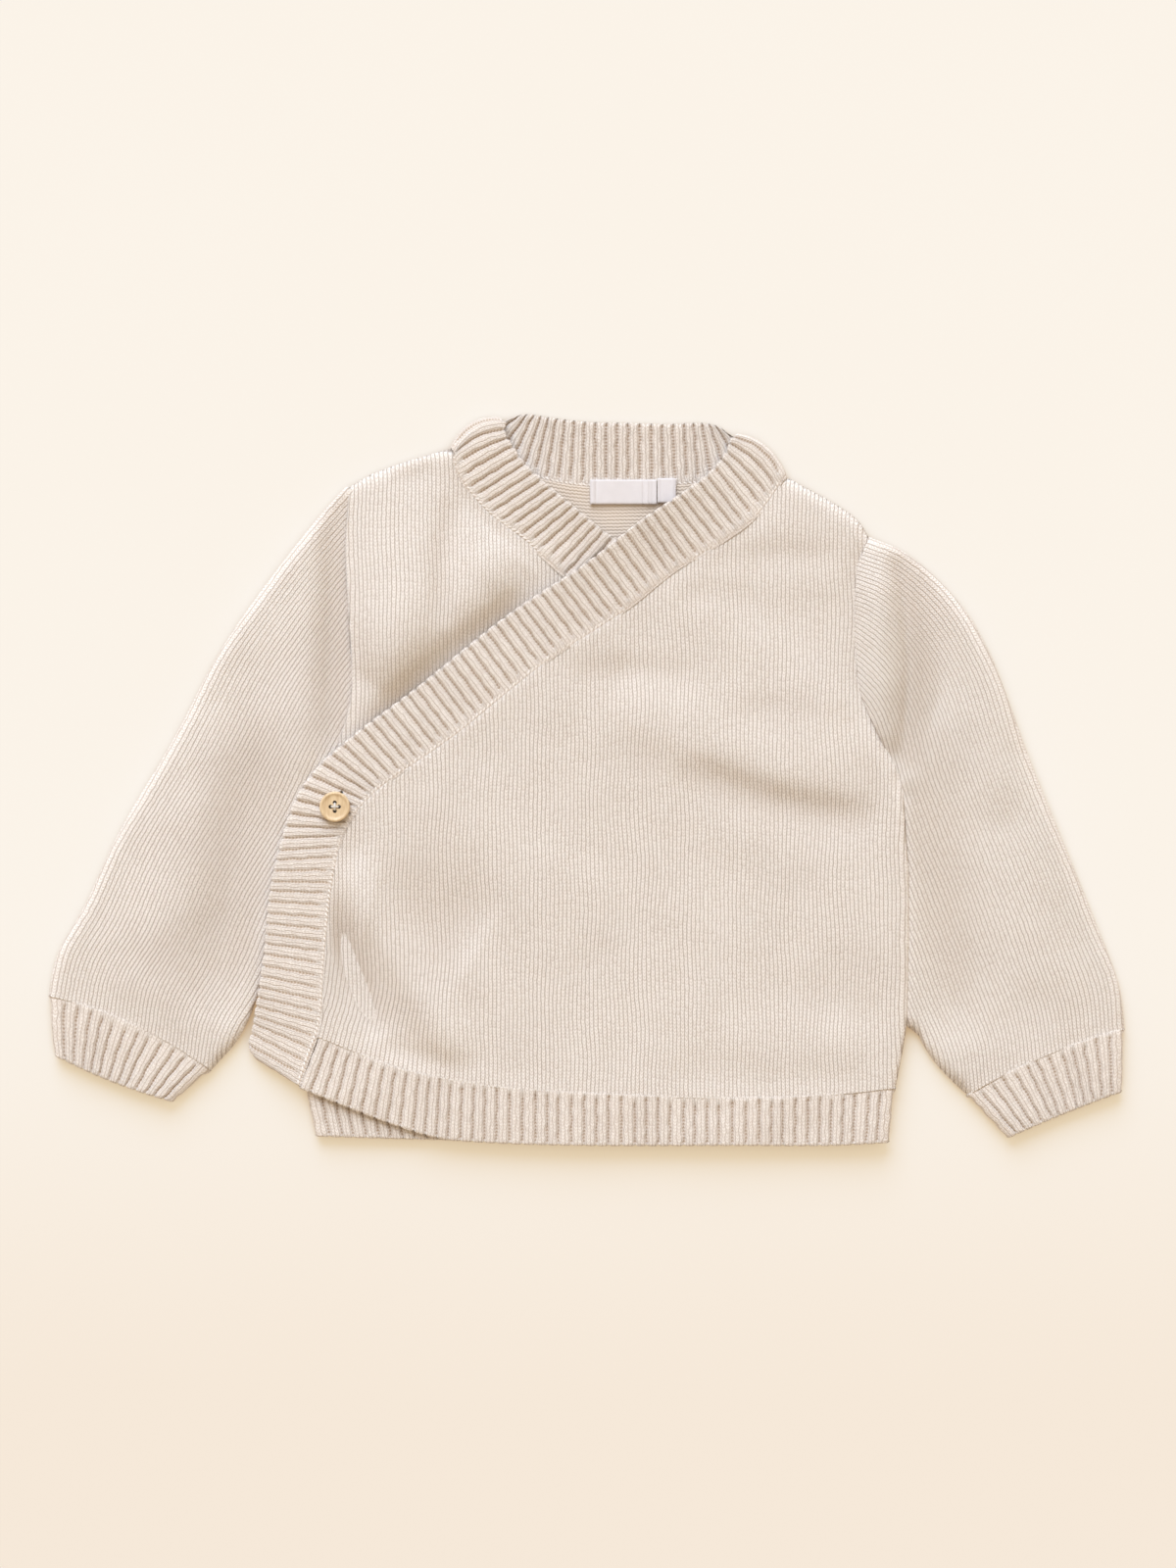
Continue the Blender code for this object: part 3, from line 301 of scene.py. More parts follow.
BUTTON_AT = (-105.2, -12.6)
BUTTON_BASE = 9.1
BUTTONHOLE = ((-3.4, 0.0), (-2.4, 1.7), (0.0, 2.7), (2.6, 1.9), (7.2, 0.3))  # away, half width
BUTTONHOLE_ANGLE = math.radians(65)
BUTTONHOLE_DEPTH = (3.0, 12.0)
SHANK = 0.45  # the shank's strands wind round its middle at this distance
SHANK_STRAND = 0.42  # half of one strand's thickness
SHANK_TURN = 1.1  # how far they turn to each millimetre
THREAD_REACH = 0.84  # the thread lies against the inner side of each hole
LABEL = (1.5, 29.3, 124.0, 114.2)  # left, right, top, low
SIZE_TAB = (29.7, 37.4, 124.6, 114.8)
LABEL_FLOOR = 2.8  # the label's lower layer lies at this height
LABEL_CLOTH = 0.28
LINK_PITCH = 2.0
LINK_INSET = 1.1
LINK_WAY = (0.62, 0.78)  # a linking stitch's course towards the free edge and along it
LINK_HALF = 1.05  # half of a linking stitch's length
LINK_THICK = 0.4  # and half of its thickness
LINK_BOW = 0.28
# Along a linking stitch: places from end to end, and the share of its thickness at each.
LINK_SHAPE = np.array([(-1, 0.35), (-0.8, 0.8), (-0.35, 1), (0.35, 1), (0.8, 0.8), (1, 0.35)])
WALE_SHIFT = 1.0  # how far one wale's stitches may lie off its neighbour's
V_SLANT = 0.8  # how far a stitch's legs rise, as a share of its height

# ---- how the knitting is laid out

BASE_LINE = -132.0  # courses are counted from this height in the plan
BACK_TOP = 121.0
UNDER_TOP = 138.5
OVER_TOP = 125.5
SHOULDER_LOW = {"left": 120.0, "right": 98.0}
EDGE_ROWS = (0.0, 0.5, 1.1, 1.9, 3.0, 4.5)  # rows beside an edge
BACK_ROW = 3.4
FRONT_ROW = 2.6
SLEEVE_ROW = 2.8
DRIFT_ROOM = 12.0
DRIFT_SPANS = (70.0, 43.0, 27.0)
DRIFT_SHARE = 0.006
DRIFT_FADE = 20.0
MEET_REACH = 5.0  # how far from a linked edge the cloth is drawn to its height
SEAM_DIP = 0.3  # along the armholes alone
RELIEF_ROOM = 1.6  # the wales flatten out this close to a piece's outline
DIP_WIDTH = 0.9
CORNER_LEAN = 6.8  # the wales lean towards the button's lower corner
CORNER_HEIGHT = 55.0
CORNER_START = -40.0
CORNER_WIDTH = 60.0
HEM_FADE = 75.0  # over this height the over front's courses stop following its hem
HIDDEN_FADE = 40.0  # and those of the back and under front
NECK_FADE = 60.0  # below the neck the back's courses bend to follow it
CUFF_BLEND = 70.0
NEAR_BODY = 3.0  # a sleeve's inner edge this close to the body lies against it
BODY_TOUCH = -3.6
# Places of the points across one rib: 0 on its ridge, 1 or -1 in the groove beside it.
RIB_PLACES = (-1, -0.83, -0.6, -0.38, -0.17, 0, 0.17, 0.38, 0.6, 0.83)
RIB_ROW = 1.45
RIB_CHANCE = 0.12
RIB_WANDER = 0.16
RIDGE_POWER = {"band": 3.9, "hem": 4.6, "cuff": 5.2}
RIDGE_SHARE = 0.62
EDGE_ROUND = 1.5
GROOVE_RISE = 0.8  # the grooves reach their depth this far from the free edge
SCALLOP = 0.8
LINK_WIDTH = 2.6  # smooth strip beside the linked edge of the neck band
LINK_SINK = 0.3  # how deep the row of linking stitches lies
LINK_ROW = 0.9  # and how wide its trough is
LINK_DARK = 0.5  # and how far it is in shade, as a share of a groove
GROOVE_START = 2.4  # on hems and cuffs the grooves start unevenly within this
LIP = 0.12  # both skins sink this much at a linked edge
LIP_REACH = 1.1
BACK_DEEPER = 0.3  # the neck band's ribs are deeper at the back and shallower low in front
LOW_SHALLOWER = 0.7
LOW_FROM = -8.0
LOW_REACH = 30.0
LIP_NEAR = 2.0
HOLLOW_FULL = 6.0  # the yarn of a fold this deep gets the full painted shade
# how far painted shade mixes the yarn in a fold's hollow towards the groove colour
HOLLOW_PAINTED_SHADE = 0.36
FALLEN_PAINTED_SHADE = 1.3  # painted shade, stronger where the under front's folds fall towards the over band
FOLD_TURNS = 12
FOLD_END = 14.0  # the under front's folds fall to nothing over this before the over band
FOLD_UNDER = 3.0  # and end this far under it
BAND_ROOM = 8.0  # they rise to their height over this beside their own band
FOLD_ROUND = 4.5  # the free edge is drawn in this much where the band turns over
FOLD_ROUND_REACH = 7.0
NECK_CENTRE = (12.0, 122.0)
NECK_REACH = 44.0
NECK_LIFT = 4.0  # the bands stand off the back round the neck
FOLD_BOW = 3.6  # how far the middle of a neck fold bows out
FOLD_BOW_REACH = 10.0

KEY_PLACE = (-0.5, 2.3, 1.75)
KEY_COLOUR = (0.88, 1.02, 1.18)
FILL_COLOUR = (1.068, 0.86, 0.603)

# ---- sizes and colours


def length(name, value, text):
    """A length property, given in millimetres."""
    return bpy.props.FloatProperty(
        name=name, description=text, default=value * MM, unit="LENGTH", subtype="DISTANCE",
        precision=5,
    )


def share(name, value, text, most=1.0):
    return bpy.props.FloatProperty(name=name, description=text, default=value, min=0, max=most)


def colour(name, value, text):
    return bpy.props.FloatVectorProperty(
        name=name, description=text, default=value, size=3, min=0, max=1, subtype="COLOR",
    )


class ClothSizes(bpy.types.PropertyGroup):
    """Sizes of the knitted cloth."""

    knit_wall: length("Plain knit wall", 2.2, "Thickness of the back and the fronts")
    sleeve_wall: length("Sleeve wall", 2.0, "Thickness of each layer of a sleeve")
    rib_wall: length("Rib wall", 2.6, "Thickness of the hems, cuffs and neck band")
    wale: length("Wale", 1.7, "Width of one column of plain stitches")
    course: length("Course", 1.4, "Height of one row of stitches")
    wale_relief: length("Wale relief", 0.2, "How high a wale stands above the groove beside it")
    rib: length("Rib", 4.7, "Width of one raised rib and the groove beside it")
    hem_rib: length("Hem rib", 5.2, "The same on the hems, which lie stretched")
    rib_relief: length("Rib relief", 1.25, "How high a rib stands above its groove")
    wave: length("Waviness", 0.22, "Height of the slight waves of cloth that was laid by hand")


class ButtonSizes(bpy.types.PropertyGroup):
    """Sizes of the button and its sewing thread."""

    diameter: length("Diameter", 12.7, "Width of the button")
    thickness: length("Thickness", 2.4, "Height of the button's rim")
    rim: length("Rim", 1.5, "Width of the raised rim")
    dish: length("Dish", 0.6, "Depth of the dish inside the rim")
    hole: length("Hole", 1.7, "Width of each of the four holes")
    hole_offset: length("Hole offset", 1.75, "From the button's middle to a hole's middle")
    thread: length("Thread", 0.42, "Thickness of one strand of the sewing thread")


class CardiganColours(bpy.types.PropertyGroup):
    """Colours of yarn, trimmings and floor."""

    yarn: colour("Yarn", (0.90, 0.842, 0.806), "The lit side of the cream yarn")
    # painted shade between stitches, together with random mottle: the yarn is darkened towards this
    # where the stitches are low
    yarn_gap_shade_and_mottle: colour("Yarn between stitches", (0.565, 0.475, 0.418), "The yarn in the gaps")
    # painted shade: the yarn deep between ribs and in the hollows of folds is darkened towards this
    # colour
    groove: colour("Yarn between ribs", (0.50, 0.385, 0.30), "The yarn deep between two ribs")
    purl: colour("Inside of the cloth", (0.74, 0.645, 0.565), "The yarn on the purl side")
    wood: colour("Wood", (0.76, 0.60, 0.40), "The button's wood")
    wood_grain: colour("Wood grain", (0.58, 0.41, 0.24), "The darker lines in the wood")
    thread: colour("Thread", (0.86, 0.82, 0.78), "The sewing thread")
    label: colour("Label", (0.765, 0.73, 0.765), "The woven satin of the labels")
    floor: colour("Floor", (0.272, 0.344, 0.452), "The surface that the cardigan lies on")
    # painted light: the floor glows though no lamp lies under it, which lifts the shade on the
    # floor
    glow: colour("Floor glow", (0.633, 0.50, 0.323), "The light that comes up through the floor")


class StudioSettings(bpy.types.PropertyGroup):
    """Camera and lights."""

    height: length("Camera height", 2600, "From the floor up to the camera")
    view: length("View", 656, "Height of what the camera sees at the cloth")
    centre_x: length("View centre X", 0.6, "Middle of the view across")
    centre_y: length("View centre Y", -3.1, "Middle of the view up")
    key: share("Key light", 3.09, "Strength of the soft light from beyond the neck", 50)
    fill: share("Fill", 0.66, "Strength of the light from all round", 10)
    softness: bpy.props.FloatProperty(
        name="Softness", description="How wide the key light is, seen from the cloth",
        default=math.radians(50), unit="ROTATION", subtype="ANGLE")


def mm(value):
    return value / MM


# ---- lines in plan


def curve(rows, steps=8, columns=2):
    """A smooth line through the rows, spaced by these columns, with any further ones along."""
    rows = np.asarray(rows, float)
    gaps = np.sqrt(np.linalg.norm(np.diff(rows[:, :columns], axis=0), axis=1))[:, None]
    slopes = np.diff(rows, axis=0) / gaps
    tangents = np.vstack([
        slopes[:1],
        (slopes[:-1] * gaps[1:] + slopes[1:] * gaps[:-1]) / (gaps[1:] + gaps[:-1]),
        slopes[-1:],
    ])
    t = np.linspace(0, 1, steps, endpoint=False)[:, None]
    pieces = []
    for k, gap in enumerate(gaps):
        start, end = rows[k], rows[k + 1]
        leave, arrive = tangents[k] * gap, tangents[k + 1] * gap
        pieces.append(
            (2 * t**3 - 3 * t**2 + 1) * start
            + (t**3 - 2 * t**2 + t) * leave
            + (3 * t**2 - 2 * t**3) * end
            + (t**3 - t**2) * arrive
        )
    return np.vstack([*pieces, rows[-1:]])


def unit(vectors):
    """The same directions with a length of 1."""
    return vectors / np.maximum(np.linalg.norm(vectors, axis=-1, keepdims=True), 1e-9)


def read(table, at, places=None):
    """A table's rows at these places, which count its rows unless they are given."""
    places = np.arange(len(table)) if places is None else places
    return np.stack([np.interp(at, places, column) for column in table.T], -1)


def lengths(line, columns=2):
    """The length from the line's start to each of its points."""
    steps = np.linalg.norm(np.diff(line[:, :columns], axis=0), axis=1)
    return np.hstack([[0], np.cumsum(steps)])


def at_lengths(line, wanted, columns=2):
    """The line's points at these distances from its start, carried on straight past its ends."""
    reach = lengths(line, columns)
    points = read(line, wanted, reach)
    before, after = np.minimum(wanted, 0), np.maximum(wanted - reach[-1], 0)
    start = (line[1] - line[0]) / (reach[1] - reach[0])
    end = (line[-1] - line[-2]) / (reach[-1] - reach[-2])
    return points + before[:, None] * start + after[:, None] * end


def along(line, shares):
    return at_lengths(line, np.asarray(shares) * lengths(line)[-1])


def sideways(line, side):
    """Unit normals of a line in plan: side 1 is right of its course, -1 is left."""
    course = unit(np.gradient(line[:, :2], axis=0))
    return side * np.column_stack([course[:, 1], -course[:, 0]])


def inset(line, amount, side):
    """The line moved in from its outer side."""
    moved = line.copy()
    moved[:, :2] -= amount * sideways(line, side)
    return moved


def column(rows, side):
    """One side's x and y out of a table of left and right points."""
    first = 0 if side == "left" else 2
    return np.array([row[first:first + 2] for row in rows])


def chord(start, end, bow, steps=24):
    """A line from start to end that bows out by this much, to the left of its course."""
    start, end = np.asarray(start, float), np.asarray(end, float)
    course = end - start
    normal = unit(np.array([-course[1], course[0]]))
    t = np.linspace(0, 1, steps)[:, None]
    return start + course * t + normal * bow * 4 * t * (1 - t)


def nearest(points, line):
    """Each point's distance to the line, and the index along it, with its fraction."""
    start, course = line[:-1, :2], np.diff(line[:, :2], axis=0)
    squares = (course**2).sum(-1)
    flat = points.reshape(-1, points.shape[-1])[:, :2]
    gaps, places = np.empty(len(flat)), np.empty(len(flat))
    for first in range(0, len(flat), 20000):
        to = flat[first:first + 20000, None] - start
        t = np.clip((to * course).sum(-1) / squares, 0, 1)
        gap = np.linalg.norm(to - t[..., None] * course, axis=-1)
        best = gap.argmin(1)
        row = np.arange(len(best))
        gaps[first:first + 20000] = gap[row, best]
        places[first:first + 20000] = best + t[row, best]
    return gaps.reshape(points.shape[:-1]), places.reshape(points.shape[:-1])


def inside(points, outline):
    """Which points lie inside the closed outline."""
    x, y = points[:, 0, None], points[:, 1, None]
    start, end = outline, np.roll(outline, -1, axis=0)
    spans = (start[:, 1] > y) != (end[:, 1] > y)
    rise = np.where(end[:, 1] == start[:, 1], 1, end[:, 1] - start[:, 1])
    crossing = start[:, 0] + (y - start[:, 1]) / rise * (end[:, 0] - start[:, 0])
    return (spans & (x < crossing)).sum(1) % 2 == 1


def where_it_leaves(within, beyond, outline):
    """The share of the way from an inner to an outer point at which the outline is crossed."""
    start, course = outline, np.roll(outline, -1, axis=0) - outline
    way = beyond - within
    across = way[0] * course[:, 1] - way[1] * course[:, 0]
    across = np.where(np.abs(across) < 1e-12, 1e-12, across)
    to = start - within
    t = (to[:, 0] * course[:, 1] - to[:, 1] * course[:, 0]) / across
    s = (to[:, 0] * way[1] - to[:, 1] * way[0]) / across
    hits = np.where((s >= -1e-9) & (s <= 1 + 1e-9) & (t >= 0) & (t <= 1), t, 2)
    edge = hits.argmin()
    return min(hits[edge], 1.0), edge


# ---- heights


def rounded(share_of):
    """A quarter round that rises steeply from an edge: 0 at it, 1 from its reach on."""
    return np.sqrt(1 - (1 - np.clip(share_of, 0, 1)) ** 2)


def softened(share_of):
    """A gentle rise from an edge: 0 at it, 1 from its reach on."""
    return np.sin(np.clip(share_of, 0, 1) * math.pi / 2)


def eased(share_of):
    share_of = np.clip(share_of, 0, 1)
    return share_of * share_of * (3 - 2 * share_of)


def fold_relief(points, folds):
    """The height that the named folds add at each point."""
    total = np.zeros(points.shape[:-1])
    for start_x, start_y, end_x, end_y, bow, left, right, height in folds.values():
        line = chord((start_x, start_y), (end_x, end_y), bow, steps=14)
        gap, at = nearest(points, line)
        width = np.where(side_of(points, line, at) > 0, left, right)
        fade = 1 - np.abs(2 * at / (len(line) - 1) - 1) ** 3
        total += height * fade * np.exp(-((gap / width) ** 2))
    return total


def painted_hollow_shade(points, folds):
    """How deep each point lies in the troughs among the folds, as a share, which is painted as
    shade on its yarn.
    """
    troughs = {name: row for name, row in folds.items() if row[-1] < 0}
    return np.clip(-fold_relief(points, troughs) / HOLLOW_FULL, 0, 1)


def side_of(points, line, at):
    """Above zero where a point lies left of the line's course, at these places along it."""
    to = points[..., :2] - read(line[:, :2], at)
    return (to * read(sideways(line, -1), at)).sum(-1)


def ripple(points, span, chance):
    """Straight waves of this span that run in a chance direction."""
    angle, phase = chance.uniform(0, math.pi), chance.uniform(0, math.tau)
    run = points[..., 0] * math.cos(angle) + points[..., 1] * math.sin(angle)
    return np.sin(run * math.tau / span + phase)


def waves(points, amount, seed):
    """Slight uneven waves, as in cloth that was smoothed by hand."""
    chance = np.random.default_rng(seed)
    total = np.zeros(points.shape[:-1])
    for span in (62.0, 41.0, 29.0, 19.0):
        for _ in range(3):
            total += ripple(points, span, chance) * span / 62.0
    return total * amount / 2


def seam_line(line, side, seam, reach, turn):
    """A boundary with columns x, y, out_x, out_y, seam height, reach and turn.

    Turn is 1 where the cloth rolls right over at the edge and 0 where it only dips.
    """
    count = len(line)
    return np.column_stack([
        line[:, :2], sideways(line, side),
        *(np.broadcast_to(value, count) for value in (seam, reach, turn)),
    ])


def armhole_height(arc, whole, level):
    reach = ARMHOLE_RISE if level > TUBE_EDGE else FLOOR_REACH
    return TUBE_EDGE + (level - TUBE_EDGE) * rounded(np.minimum(arc, whole - arc) / reach)


def body_edge(side, level, wall):
    """The seam lines of a panel: side seam, armhole and shoulder, moved in where they roll."""
    hand = OUT_SIDE[side]
    low = curve(column(SIDE_ROWS, side))
    arm = curve(column(ARMHOLE_ROWS, side))
    top = curve(column(SHOULDER_ROWS, side))
    arc, side_arc = lengths(arm), lengths(low)
    from_armpit = eased((side_arc[-1] - side_arc) / ARMPIT_BLEND)
    side_height = TUBE_EDGE + (SIDE_SEAM[side] - TUBE_EDGE) * from_armpit
    seams = [
        seam_line(low, hand, side_height, SIDE_REACH[side], 1),
        seam_line(arm, hand, armhole_height(arc, arc[-1], level), ARMHOLE_REACH[side],
                  ARMHOLE_TURN[side] if level > TUBE_EDGE else 0),
        seam_line(top, hand, SHOULDER_SEAM, SHOULDER_REACH, 1),
    ]
    for seam in seams[::2]:
        seam[:, :2] -= seam[:, 2:4] * wall / 2
    return seams


def settle(plan, level, seams, face=1):
    """Middle points and outward directions of a panel whose level falls to its seams."""
    height = np.broadcast_to(level, plan.shape[:-1]).copy()
    lean = np.zeros(plan.shape[:-1] + (2,))
    for seam in seams:
        gap, at = nearest(plan, seam)
        out_x, out_y, low, reach, turn = np.moveaxis(read(seam[:, 2:], at), -1, 0)
        fall = turn * rounded(gap / reach) + (1 - turn) * softened(gap / reach)
        height = low + (height - low) * fall
        amount = turn * np.clip(1 - gap / np.minimum(reach, TURN), 0, 1)
        stronger = amount > np.linalg.norm(lean, axis=-1)
        lean[stronger] = (amount[..., None] * np.stack([out_x, out_y], -1))[stronger]
    upright = face * np.sqrt(np.maximum(1 - (lean**2).sum(-1), 0))
    return np.column_stack([plan, height]), np.column_stack([lean, upright])


def lifted(middle, seams, amount):
    """Middle points moved up or down beside the rolled seams, where two panels meet."""
    middle = middle.copy()
    for seam in seams:
        if seam[0, 6] == 1:
            gap, _ = nearest(middle, seam)
            middle[:, 2] += amount * np.clip(1 - gap / GAP_FADE, 0, 1)
    return middle


# ---- trimmed knitting


class Knitting:
    """Plan points of one piece, laid out in rows, with its faces and its border.

    Stitches holds each point's distance across the wales and along them, in millimetres.
    Rim holds the border's edges, and its kinds say what each one is.
    """

    def __init__(self):
        self.plan, self.stitches, self.faces = [], [], []
        self.rim, self.kinds = [], []
        self.count = 0

    def add(self, points, stitches):
        """Adds points and returns their numbers."""
        self.plan.append(points)
        self.stitches.append(stitches)
        numbers = np.arange(self.count, self.count + len(points))
        self.count += len(points)
        return numbers

    def close(self):
        self.plan = np.vstack(self.plan)
        self.stitches = np.vstack(self.stitches)
        return self


def in_order(row):
    """The point numbers of a row (left end, {column: number}, right end), from left to right."""
    return [row[0], *(row[1][k] for k in sorted(row[1])), row[2]]


def zipped(lower, upper):
    """Faces between two rows."""
    faces = []
    shared = sorted(set(lower[1]) & set(upper[1]))
    if not shared:
        low, high = in_order(lower), in_order(upper)
        while len(low) > 1 or len(high) > 1:
            if len(low) > 1 and (len(high) == 1 or len(low) >= len(high)):
                faces.append((low[0], low[1], high[0]))
                low.pop(0)
            else:
                faces.append((low[0], high[1], high[0]))
                high.pop(0)
        return faces
    faces += [(lower[1][k], lower[1][k + 1], upper[1][k + 1], upper[1][k])
              for k in range(shared[0], shared[-1])]
    for end, corner, flip in ((0, shared[0], False), (2, shared[-1], True)):
        low, high = (
            [row[end], *(row[1][k] for k in sorted(row[1], reverse=flip)
                         if k == corner or (k > corner) == flip)]
            for row in (lower, upper)
        )
        if len(low) >= len(high):
            side = [(a, b, high[0]) for a, b in zip(low, low[1:])]
            side.append((low[-1], high[-1], high[0]))
        else:
            side = [(low[0], b, a) for a, b in zip(high, high[1:])]
            side.append((low[0], low[-1], high[-1]))
        faces += [face[::-1] for face in side] if flip else side
    return faces


def knitted(place, columns, rows, outline, kinds):
    """Knits a piece: place turns stitch distances into plan points, and outline trims it.

    Columns are distances across the wales and rows along them. The first row is a border.
    Kinds names each stretch of the outline, counted by its points.
    """
    made = Knitting()
    laid = []
    for distance in rows:
        stitches = np.column_stack([columns, np.full(len(columns), distance)])
        points = place(stitches)
        within = np.nonzero(inside(points, outline))[0]
        if len(within) < 2:
            continue
        first, last = within[0], within[-1]
        ends = []
        for inner, outer in ((first, first - 1), (last, last + 1)):
            t, edge = where_it_leaves(points[inner], points[outer], outline)
            at = stitches[inner] + (stitches[outer] - stitches[inner]) * t
            ends.append((points[inner] + (points[outer] - points[inner]) * t, at, kinds[edge], t))
        keep_first = first + 1 if ends[0][3] < 0.35 else first
        keep_last = last - 1 if ends[1][3] < 0.35 else last
        if keep_last < keep_first:
            continue
        middle = slice(keep_first, keep_last + 1)
        numbers = made.add(
            np.vstack([ends[0][0], points[middle], ends[1][0]]),
            np.vstack([ends[0][1], stitches[middle], ends[1][1]]),
        )
        inner_columns = dict(zip(range(keep_first, keep_last + 1), numbers[1:-1].tolist()))
        laid.append((int(numbers[0]), inner_columns, int(numbers[-1]), ends[0][2], ends[1][2]))
    for lower, upper in zip(laid, laid[1:]):
        made.faces += zipped(lower, upper)
        made.rim += [(upper[0], lower[0]), (lower[2], upper[2])]
        made.kinds += [upper[3], upper[4]]
    for kind, chain in (("first", in_order(laid[0])), ("last", in_order(laid[-1])[::-1])):
        made.rim += list(zip(chain, chain[1:]))
        made.kinds += [kind] * (len(chain) - 1)
    return made.close()


def gridded(plan, stitches, kinds):
    """A piece whose points already lie in a grid. Kinds names first, right, last and left."""
    rows, columns = plan.shape[:2]
    made = Knitting()
    number = made.add(plan.reshape(-1, 2), stitches.reshape(-1, 2)).reshape(rows, columns)
    made.faces = np.stack(
        [number[:-1, :-1], number[:-1, 1:], number[1:, 1:], number[1:, :-1]], -1
    ).reshape(-1, 4).tolist()
    borders = (number[0], number[:, -1], number[-1, ::-1], number[::-1, 0])
    for border, kind in zip(borders, kinds):
        made.rim += list(zip(border[:-1].tolist(), border[1:].tolist()))
        made.kinds += [kind] * (len(border) - 1)
    return made.close()


# ---- meshes


def volume_of(points, faces):
    """Six times the volume that these faces enclose."""
    fans = [(face[0], face[k], face[k + 1]) for face in faces for k in range(1, len(face) - 1)]
    first, second, third = points[np.array(fans)].transpose(1, 0, 2)
    return np.einsum("ij,ij->", first, np.cross(second, third))


def make_mesh(name, points, faces, stitches, looks, materials, flat=None, grooves=None):
    """A smooth object from points in millimetres, with its stitch map and its materials.

    Looks gives each face's material by its number in materials, and flat the faces that
    are cut edges, whose shading doesn't run into the skins. Grooves gives each point's depth
    between two ribs or in a fold, as a share, which the yarn's finishes turn into painted shade.
    """
    if volume_of(points, faces) < 0:
        faces = [tuple(reversed(face)) for face in faces]
    mesh = bpy.data.meshes.new(name)
    mesh.from_pydata((points * MM).tolist(), [], faces)
    made = mesh.uv_layers.new(name="stitches")
    corner = np.empty(len(mesh.loops), np.int32)
    mesh.loops.foreach_get("vertex_index", corner)
    made.data.foreach_set("uv", stitches[corner].astype(np.float32).ravel())
    if grooves is not None:
        sunk = mesh.attributes.new("groove", "FLOAT", "POINT")
        sunk.data.foreach_set("value", np.asarray(grooves, np.float32))
    for finish in materials:
        mesh.materials.append(finish)
    mesh.polygons.foreach_set("material_index", np.asarray(looks, np.int32))
    smooth = np.ones(len(faces), bool) if flat is None else ~np.asarray(flat, bool)
    mesh.polygons.foreach_set("use_smooth", smooth)
    mesh.update()
    thing = bpy.data.objects.new(name, mesh)
    bpy.context.scene.collection.objects.link(thing)
    return thing


def shell(name, knitting, middle, outward, above, below, materials, inner=None,
          grooves=None):
    """A closed wall about one layer, whose two skins stand off by these amounts.

    Inner is the inner skin's stitch map where it differs from the outer one's.
    """
    upper, lower = middle + outward * above[:, None], middle - outward * below[:, None]
    count = len(middle)
    faces = [tuple(face) for face in knitting.faces]
    under = [tuple(k + count for k in reversed(face)) for face in faces]
    rim = [(b, a, a + count, b + count) for a, b in knitting.rim]
    looks = [0] * len(faces) + [1] * len(under) + [0] * len(rim)
    inner = knitting.stitches if inner is None else inner
    flat = [False] * (2 * len(faces)) + [kind != "free" for kind in knitting.kinds]
    return make_mesh(name, np.vstack([upper, lower]), faces + under + rim,
                     np.vstack([knitting.stitches, inner]), looks, materials, flat,
                     None if grooves is None else np.hstack(grooves))


def tube(name, knitting, layers, above, below, materials, grooves=None):
    """A flattened tube. Layers gives middle and outward of its upper and lower layer.

    Rim edges of the kind "fold" join the two layers, and the others are the tube's ends.
    """
    count = len(knitting.plan)
    folded = np.zeros(count, bool)
    for (a, b), kind in zip(knitting.rim, knitting.kinds):
        if kind == "fold":
            folded[[a, b]] = True
    skins, points = [], []
    for layer, (middle, outward) in enumerate(layers):
        for skin, stand in enumerate((above, -below)):
            points.append(middle + outward * stand[:, None])
            skins.append(np.arange(count) + count * (2 * layer + skin))
    for upper, lower in ((0, 2), (1, 3)):
        skins[lower] = np.where(folded, skins[upper], skins[lower])
    points = np.vstack(points)
    faces, looks = [], []
    for k, skin in enumerate(skins):
        flip = k in (1, 2)
        for face in knitting.faces:
            corners = tuple(int(skin[i]) for i in (reversed(face) if flip else face))
            if len(set(corners)) == len(corners):
                faces.append(corners)
                looks.append(k % 2)
    skin_faces = len(faces)
    flat = []
    for (a, b), kind in zip(knitting.rim, knitting.kinds):
        if kind != "fold":
            for top, low in ((0, 1), (3, 2)):
                corners = [skins[top][b], skins[top][a], skins[low][a], skins[low][b]]
                corners = tuple(dict.fromkeys(int(i) for i in corners))
                if len(corners) > 2:
                    faces.append(corners)
                    looks.append(0)
                    flat.append(kind != "free")
    used = np.unique(np.hstack([np.array(face) for face in faces]))
    number = np.full(len(points), -1)
    number[used] = np.arange(len(used))
    faces = [tuple(int(number[i]) for i in face) for face in faces]
    stitches = np.vstack([knitting.stitches] * 4)
    if grooves is not None:
        grooves = np.hstack([*grooves, *grooves])[used]
    return make_mesh(name, points[used], faces, stitches[used], looks, materials,
                     [False] * skin_faces + flat, grooves)


def fine_rows(first, last, step, also_last=False, shoulder=None):
    """Row distances from first to last, closer together beside a linked edge.

    They are half as far apart from the shoulder's lower end on, where one is given.
    """
    turn = last if shoulder is None else shoulder
    rows = np.hstack([first + np.array(EDGE_ROWS), np.arange(EDGE_ROWS[-1] + step, turn, step),
                      np.arange(turn, last, step / 2)])
    rows = rows[rows < last - step / 2]
    if also_last:
        near = last - np.array(EDGE_ROWS)[::-1]
        rows = np.hstack([rows[rows < near[0] - step / 2], near])
    return rows


def wale_places(first, last):
    """Distances across the wales, three to a wale, the first of each three in its groove."""
    wale = cloth("wale")
    return np.arange(3 * math.floor(first / wale), 3 * math.ceil(last / wale) + 1) * wale / 3


def wale_relief(across):
    """How far the cloth is sunk in the grooves between the wales."""
    wale = cloth("wale")
    from_groove = np.abs(across / wale - np.round(across / wale)) * 3
    return -cloth("wale_relief") * np.clip(1 - from_groove, 0, 1)


def drifted(points, fade, seed):
    """Plan points moved a little, so that wales and courses run unevenly."""
    chance = np.random.default_rng(seed)
    moved = points.copy()
    for axis in (0, 1):
        for span in DRIFT_SPANS:
            moved[:, axis] += fade * ripple(points, span, chance) * span * DRIFT_SHARE
    return moved


